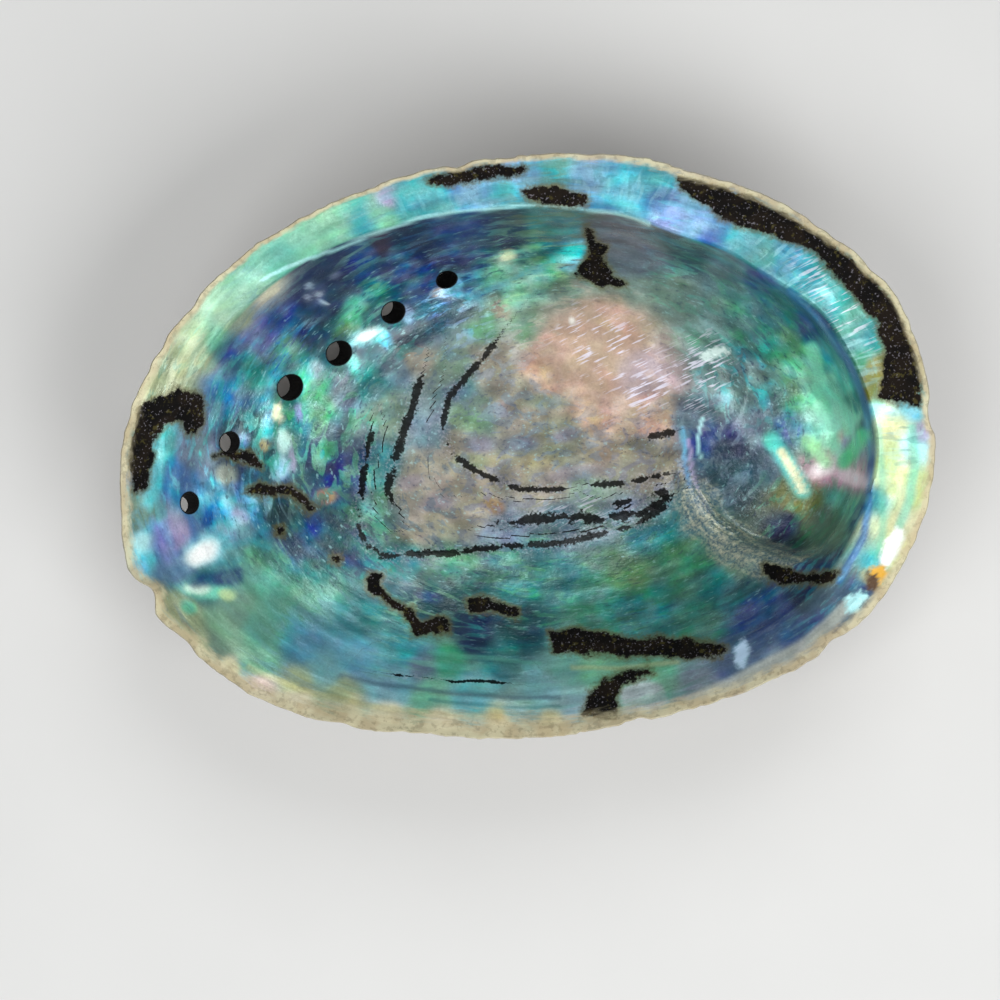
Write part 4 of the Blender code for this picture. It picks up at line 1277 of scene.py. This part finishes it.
def attribute(tree, name, output="Fac"):
    """The value that the mesh carries under this name."""
    settings = {"attribute_name": name, "attribute_type": "GEOMETRY"}
    return add(tree, "ShaderNodeAttribute", {}, **settings).outputs[output]


def math_of(tree, operation, a, b=0.0, c=0.0):
    """Two or three values put together."""
    return add(tree, "ShaderNodeMath", {0: a, 1: b, 2: c}, operation=operation).outputs[0]


def times(tree, a, b):
    """Two values multiplied."""
    return math_of(tree, "MULTIPLY", a, b)


def plus(tree, first, *others):
    """The sum of the values."""
    for other in others:
        first = math_of(tree, "ADD", first, other)
    return first


def most(tree, first, *others):
    """The largest of the values."""
    for other in others:
        first = math_of(tree, "MAXIMUM", first, other)
    return first


def swing(tree, noise_value, width):
    """A noise from 0 to 1 as a shift to and fro, this wide in all."""
    return math_of(tree, "MULTIPLY_ADD", noise_value, width, -width / 2)


def rise(tree, value, low, high, start=0.0, end=1.0):
    """A smooth change from start at low to end at high."""
    sockets = {"Value": value, "From Min": low, "From Max": high, "To Min": start, "To Max": end}
    return add(tree, "ShaderNodeMapRange", sockets, interpolation_type="SMOOTHSTEP").outputs[0]


def blend(tree, share, a, b, way="MIX"):
    """Two colours mixed."""
    settings = {"data_type": "RGBA", "blend_type": way, "clamp_result": True}
    return add(tree, "ShaderNodeMix", {0: share, 6: a, 7: b}, **settings).outputs[2]


def grain(tree, place, scale, detail=4.0, rough=0.55, output="Fac"):
    """Noise at this many lumps to a unit of the place."""
    sockets = {"Vector": place, "Scale": scale, "Detail": detail, "Roughness": rough}
    return add(tree, "ShaderNodeTexNoise", sockets).outputs[output]


def shade(colour):
    """A named colour as a shader's value."""
    return (*paint(colour), 1.0)


def tinted(tree, colour, value, low, high, strength, tint):
    """A colour with a tint laid over it, ever more up to this strength as a value goes from low to high."""
    return blend(tree, rise(tree, value, low, high, 0.0, strength), colour, shade(tint))


def two_tone(tree, value, low, high, first, second):
    """One colour where a value is at low or beyond, the other where it is at high."""
    return blend(tree, rise(tree, value, low, high), shade(first), shade(second))


def material(name):
    """An empty material with its principled shader."""
    made = bpy.data.materials.new(name)
    made.use_nodes = True
    return made, made.node_tree, made.node_tree.nodes["Principled BSDF"]


def object_place(tree):
    """Places in the object's own frame, in metres."""
    return add(tree, "ShaderNodeTexCoord", {}).outputs["Object"]


def nacre_noise(tree):
    """What the nacre's marks share: noise in the shell's frame and along its growth, and its busyness."""
    place = object_place(tree)
    along = attribute(tree, "flow", "Vector")
    blotches = grain(tree, place, BLOTCH_SCALE, 2.0, 0.5, "Color")
    return SimpleNamespace(
        place=place,
        along=along,
        busy=attribute(tree, "busy"),
        spots=add(tree, "ShaderNodeSeparateColor", {"Color": blotches}).outputs,
        specks=grain(tree, place, SPECK_SCALE, 3.0, 0.65),
        fine=grain(tree, along, FINE_SCALE, 2.0, 0.5),
        dust=grain(tree, place, DUST_SCALE, 1.0),
    )


def mottled(tree, seen):
    """The soft colours broken up by streaks and mottles, as strongly as busy says."""
    sockets = {"Vector": seen.along, "Scale": MOTTLE_SCALE, "Detail": 3.0, "Distortion": 1.0}
    mottle = add(tree, "ShaderNodeTexNoise", sockets).outputs["Fac"]
    shown = times(tree, rise(tree, mottle, 0.50, 0.60, 0.0, 0.75), seen.busy)
    colour = blend(tree, shown, attribute(tree, "tone", "Color"), attribute(tree, "accent", "Color"))
    streaks = grain(tree, seen.along, STREAK_SCALE, 1.5, 0.5, "Color")
    parts = add(tree, "ShaderNodeSeparateColor", {"Color": streaks}).outputs
    spots = seen.spots
    hue = rise(tree, spots[0], 0.3, 0.7, 0.465, 0.52)
    hue = plus(tree, rise(tree, parts[0], 0.3, 0.7, -0.04, 0.02), hue)
    strength = rise(tree, spots[1], 0.3, 0.7, 0.7, 1.15)
    bright = rise(tree, parts[2], 0.3, 0.7, 0.62, 1.4)
    bright = times(tree, bright, rise(tree, spots[2], 0.3, 0.7, 0.7, 1.3))
    share = math_of(tree, "MULTIPLY_ADD", seen.busy, 0.75, 0.25)
    sockets = {"Hue": hue, "Saturation": strength, "Value": bright, "Fac": share, "Color": colour}
    colour = add(tree, "ShaderNodeHueSaturation", sockets).outputs[0]
    pale = times(tree, rise(tree, seen.fine, 0.60, 0.74, 0.0, 0.3), seen.busy)
    colour = blend(tree, pale, colour, shade(PALE_CYAN))
    deep = times(tree, rise(tree, seen.fine, 0.42, 0.28, 0.0, 0.6), seen.busy)
    colour = blend(tree, deep, colour, shade(NAVY))
    sand = rise(tree, seen.dust, 0.3, 0.7, 1 - SANDING, 1 + SANDING)
    sand = add(tree, "ShaderNodeCombineColor", {0: sand, 1: sand, 2: sand}).outputs[0]
    return blend(tree, 1.0, colour, sand, "MULTIPLY")


def strokes(tree, place, stretch, shown, groups):
    """Short strokes of noise, long one way and narrow the other, in groups."""
    drawn = add(tree, "ShaderNodeVectorMath", {0: place, 1: stretch}, operation="MULTIPLY").outputs[0]
    found = rise(tree, grain(tree, drawn, 1.0, 1.0), 0.54, 0.63)
    return times(tree, times(tree, found, groups), shown)


def highlight_dashed(tree, colour, seen):
    """The colours with short pale dashes, painted highlights, on the scar, and pale and dark bars across the
    shelf.
    """
    groups = rise(tree, seen.spots[1], 0.40, 0.52)
    turn = (0, 0, math.radians(-DASH_HIGHLIGHT_TURN))
    turned = add(tree, "ShaderNodeMapping", {"Vector": seen.place, "Rotation": turn}).outputs[0]
    # Short pale dashes: painted highlights
    dash_highlights = strokes(tree, turned, DASH_HIGHLIGHT_STRETCH, attribute(tree, "highlight_dashed"), groups)
    colour = blend(tree, times(tree, dash_highlights, 0.85), colour, shade(DASH_HIGHLIGHT))
    bars = strokes(tree, seen.along, BAR_STRETCH, attribute(tree, "barred"), 1.0)
    colour = blend(tree, times(tree, bars, 0.28), colour, shade(PALE_CYAN))
    gaps = strokes(tree, seen.along, GAP_STRETCH, attribute(tree, "barred"), 1.0)
    return blend(tree, times(tree, gaps, 0.55), colour, shade(TEAL))


def crusted(tree, colour, seen, wide):
    """The colours with the grainy crust on the fold round the pit, in threads along it."""
    fold = attribute(tree, "fold")
    crust = two_tone(tree, seen.dust, 0.2, 0.8, SLATE, CRUST)
    drawn = math_of(tree, "MULTIPLY_ADD", fold, THREAD_WAVE, times(tree, wide, 0.6))
    threads = times(tree, math_of(tree, "SINE", drawn), rise(tree, seen.fine, 0.35, 0.6))
    crust = tinted(tree, crust, threads, 0.1, 0.9, 0.5, CREAM)
    crust = tinted(tree, crust, threads, -0.2, -0.95, 0.5, SLATE)
    crust = tinted(tree, crust, seen.specks, 0.40, 0.30, 0.5, INK)
    return blend(tree, rise(tree, plus(tree, fold, wide), *CRUST_EDGE, 0.0, 0.8), colour, crust)


def barked(tree, colour, seen, wide):
    """The colours with the brown patches, and how surely a point is in one, from 0 to 1."""
    edge = plus(tree, attribute(tree, "brown"), wide, swing(tree, seen.dust, 4.0))
    bark = two_tone(tree, seen.spots[1], 0.42, 0.60, BLACK_BROWN, DARK_BARK)
    bark = tinted(tree, bark, seen.specks, 0.56, 0.68, 0.6, OLIVE_BROWN)
    bark = tinted(tree, bark, seen.dust, 0.62, 0.74, 0.35, GRIT)
    colour = blend(tree, rise(tree, edge, *BARK_BORDER, 0.0, 0.7), colour, shade(OLIVE_BROWN))
    bare = rise(tree, edge, *BARK_EDGE)
    return blend(tree, bare, colour, bark), bare


def inked(tree, colour, seen):
    """The colours with the broken dark lines and the grit beside them, and how surely a point is in one."""
    line = math_of(tree, "ABSOLUTE", attribute(tree, "line"))
    grit = times(tree, rise(tree, line, *GRIT_BESIDE), rise(tree, seen.dust, 0.50, 0.66, 0.0, 0.22))
    colour = blend(tree, grit, colour, shade(GRIT))
    spread = plus(tree, line, swing(tree, seen.specks, 3.0), swing(tree, seen.dust, 2.4))
    dash = rise(tree, seen.spots[2], 0.34, 0.50, -0.4, 1.5)
    ink = rise(tree, math_of(tree, "SUBTRACT", spread, dash), *INK_EDGE, 0.0, 0.95)
    return blend(tree, ink, colour, shade(BLACK_BROWN)), ink


def rimmed(tree, colour, seen):
    """The colours with the rim's dull cream band, and how surely a point is in it, from 0 to 1."""
    worn = plus(tree, attribute(tree, "rim"), swing(tree, seen.fine, 1.2))
    share = rise(tree, worn, *RIM_FADE, 0.0, 0.92)
    band = two_tone(tree, seen.spots[0], 0.4, 0.6, RIM_CREAM, RIM_TAN)
    band = tinted(tree, band, seen.specks, 0.50, 0.62, 0.36, BARK)
    return blend(tree, share, colour, band), share


def nacre():
    """Nacre: streaked and mottled blues and greens, with painted highlights in dashes and crisp marks,
    its flecks, patches and lines, and the open holes' walls painted near black as shade.
    """
    made, tree, shader = material("nacre")
    seen = nacre_noise(tree)
    colour = highlight_dashed(tree, mottled(tree, seen), seen)
    ragged = swing(tree, seen.specks, 8.0)
    wide = plus(tree, ragged, swing(tree, seen.spots[0], 14.0))
    # Crisp marks: painted highlights in white and pale cyan, and amber and dark brown flecks of the shell's
    # own colour
    glint_and_fleck = plus(tree, attribute(tree, "glint_and_fleck"), plus(tree, ragged, swing(tree, seen.fine, 8.0)))
    glint_and_fleck = rise(tree, glint_and_fleck, *GLINT_AND_FLECK_EDGE, 0.0, 0.95)
    colour = blend(tree, glint_and_fleck, colour, attribute(tree, "glint_and_fleck_tone", "Color"))
    colour = crusted(tree, colour, seen, wide)
    colour, bare = barked(tree, colour, seen, wide)
    colour, ink = inked(tree, colour, seen)
    colour, dull_rim = rimmed(tree, colour, seen)
    # The open holes' walls are painted near black: painted shade, so that the holes look dark
    hole_wall_shade = rise(tree, attribute(tree, "bore"), *HOLE_SHADE_EDGE)
    colour = blend(tree, hole_wall_shade, colour, shade(BLACK_BROWN))
    tree.links.new(colour, shader.inputs["Base Color"])

    dull = most(tree, times(tree, attribute(tree, "scar"), 0.6), dull_rim)
    rough = rise(tree, dull, 0.0, 1.0, *NACRE_ROUGHNESS)
    rough = plus(tree, rough, rise(tree, seen.spots[1], 0.3, 0.7, -0.04, 0.08))
    rough = most(tree, rough, times(tree, most(tree, hole_wall_shade, bare), BARE_ROUGHNESS))
    tree.links.new(rough, shader.inputs["Roughness"])
    dark = times(tree, most(tree, bare, ink, hole_wall_shade), DARK_METALLIC)
    metallic = most(tree, rise(tree, dull, 0.0, 1.0, NACRE_METALLIC, 0.0), dark)
    tree.links.new(metallic, shader.inputs["Metallic"])
    shader.inputs["Specular IOR Level"].default_value = NACRE_SPECULAR
    height = plus(tree, times(tree, seen.fine, 0.5), times(tree, seen.specks, 0.7))
    strength = rise(tree, seen.busy, 0.1, 0.9, 0.15, 0.4)
    sockets = {"Strength": strength, "Distance": NACRE_BUMP, "Height": height}
    tree.links.new(add(tree, "ShaderNodeBump", sockets).outputs[0], shader.inputs["Normal"])
    return made


def rough_back():
    """The back: chalky, olive brown to rust, ribbed and pitted, and paler and smoother where it is worn."""
    made, tree, shader = material("rough_back")
    place = object_place(tree)
    along = attribute(tree, "flow", "Vector")
    broad = grain(tree, place, 60.0, 4.0, 0.6)
    small = grain(tree, place, 420.0, 6.0, 0.7)
    bands = grain(tree, along, 0.35, 4.0, 0.6)
    ridges = grain(tree, along, 1.5, 2.0, 0.6)
    colour = two_tone(tree, bands, 0.35, 0.65, BACK_BROWN, BACK_OLIVE)
    colour = tinted(tree, colour, broad, 0.46, 0.66, 0.7, BACK_RUST)
    colour = tinted(tree, colour, ridges, 0.54, 0.70, 0.6, BACK_RIDGE)
    colour = tinted(tree, colour, ridges, 0.46, 0.32, 0.6, BACK_GROOVE)
    colour = tinted(tree, colour, small, 0.54, 0.72, 0.6, BACK_CHALK)
    colour = tinted(tree, colour, small, 0.45, 0.3, 0.8, BACK_PIT)
    height = add(tree, "ShaderNodeSeparateXYZ", {"Vector": place}).outputs["Z"]
    worn = rise(tree, plus(tree, height, swing(tree, ridges, 0.005)), *WORN_HEIGHT, 0.0, 0.75)
    crest = two_tone(tree, small, 0.40, 0.60, WORN_GREY, WORN_CREAM)
    colour = blend(tree, worn, colour, crest)
    edge = rise(tree, attribute(tree, "rim"), 1.1, 0.2, 0.0, 0.6)
    tree.links.new(blend(tree, edge, colour, shade(RIM_TAN)), shader.inputs["Base Color"])
    tree.links.new(rise(tree, worn, 0.0, 1.0, *BACK_ROUGHNESS), shader.inputs["Roughness"])
    tree.links.new(rise(tree, worn, 0.0, 1.0, 0.0, WORN_METALLIC), shader.inputs["Metallic"])
    bump = add(tree, "ShaderNodeBump", {"Strength": 0.6, "Distance": BACK_BUMP, "Height": small})
    tree.links.new(bump.outputs[0], shader.inputs["Normal"])
    return made


def dressed_shell():
    """The finished shell, with its holes cut and its marks on it."""
    mesh = shell_mesh()
    mesh.materials.append(nacre())
    mesh.materials.append(rough_back())
    shell = bpy.data.objects.new("shell_look", mesh)
    bpy.context.scene.collection.objects.link(shell)
    pins = hole_cutters()
    bpy.context.scene.collection.objects.link(pins)
    cut = shell.modifiers.new("holes", "BOOLEAN")
    cut.operation = "DIFFERENCE"
    cut.solver = "EXACT"
    cut.object = pins
    seen = shell.evaluated_get(bpy.context.evaluated_depsgraph_get())
    shell.data = bpy.data.meshes.new_from_object(seen)
    shell.modifiers.clear()
    bpy.data.objects.remove(pins)
    mark(shell.data)
    shell.data.shade_smooth()
    shell.data.set_sharp_from_angle(angle=math.radians(SHARP_ANGLE))
    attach(shell, "root")
    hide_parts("shell")
    return shell


def floor():
    """A plain pale floor, just clear of the flat that the shell rests on."""
    made, tree, shader = material("pale_floor")
    tone = grain(tree, object_place(tree), 30.0, 3.0)
    tree.links.new(blend(tree, tone, *FLOOR_TONES), shader.inputs["Base Color"])
    shader.inputs["Roughness"].default_value = FLOOR_ROUGHNESS
    mesh = bpy.data.meshes.new("pale_floor")
    corners = [(-1, -1), (1, -1), (1, 1), (-1, 1)]
    points = [(FLOOR_HALF * x, FLOOR_HALF * y, -FLOOR_GAP) for x, y in corners]
    mesh.from_pydata(points, [], [(0, 1, 2, 3)])
    mesh.materials.append(made)
    ground = bpy.data.objects.new("pale_floor", mesh)
    bpy.context.scene.collection.objects.link(ground)


def soft_light(name, place, size, power):
    """A square soft light aimed at the shell."""
    lamp = bpy.data.lights.new(name, "AREA")
    lamp.shape = "SQUARE"
    lamp.size = size
    lamp.energy = power
    light = bpy.data.objects.new(name, lamp)
    bpy.context.scene.collection.objects.link(light)
    light.location = place
    aim = Vector(LIGHTS_AIM) - Vector(place)
    light.rotation_euler = aim.to_track_quat("-Z", "Y").to_euler()


def studio():
    """A soft grey surround, three soft lights and the camera."""
    world = bpy.data.worlds.new("studio")
    world.use_nodes = True
    world.node_tree.nodes["Background"].inputs["Color"].default_value = WORLD_COLOUR
    world.node_tree.nodes["Background"].inputs["Strength"].default_value = WORLD_STRENGTH
    bpy.context.scene.world = world
    for light in LIGHTS:
        soft_light(*light)
    lens = bpy.data.cameras.new("camera")
    lens.lens = LENS
    lens.sensor_width = SENSOR
    lens.sensor_fit = "HORIZONTAL"
    camera = bpy.data.objects.new("camera", lens)
    bpy.context.scene.collection.objects.link(camera)
    camera.location = Vector(CAMERA_AT) * MM
    camera.rotation_euler = (0, 0, -math.radians(CAMERA_TURN))
    bpy.context.scene.camera = camera
    bpy.context.scene.view_settings.view_transform = "Standard"


dressed_shell()
floor()
studio()
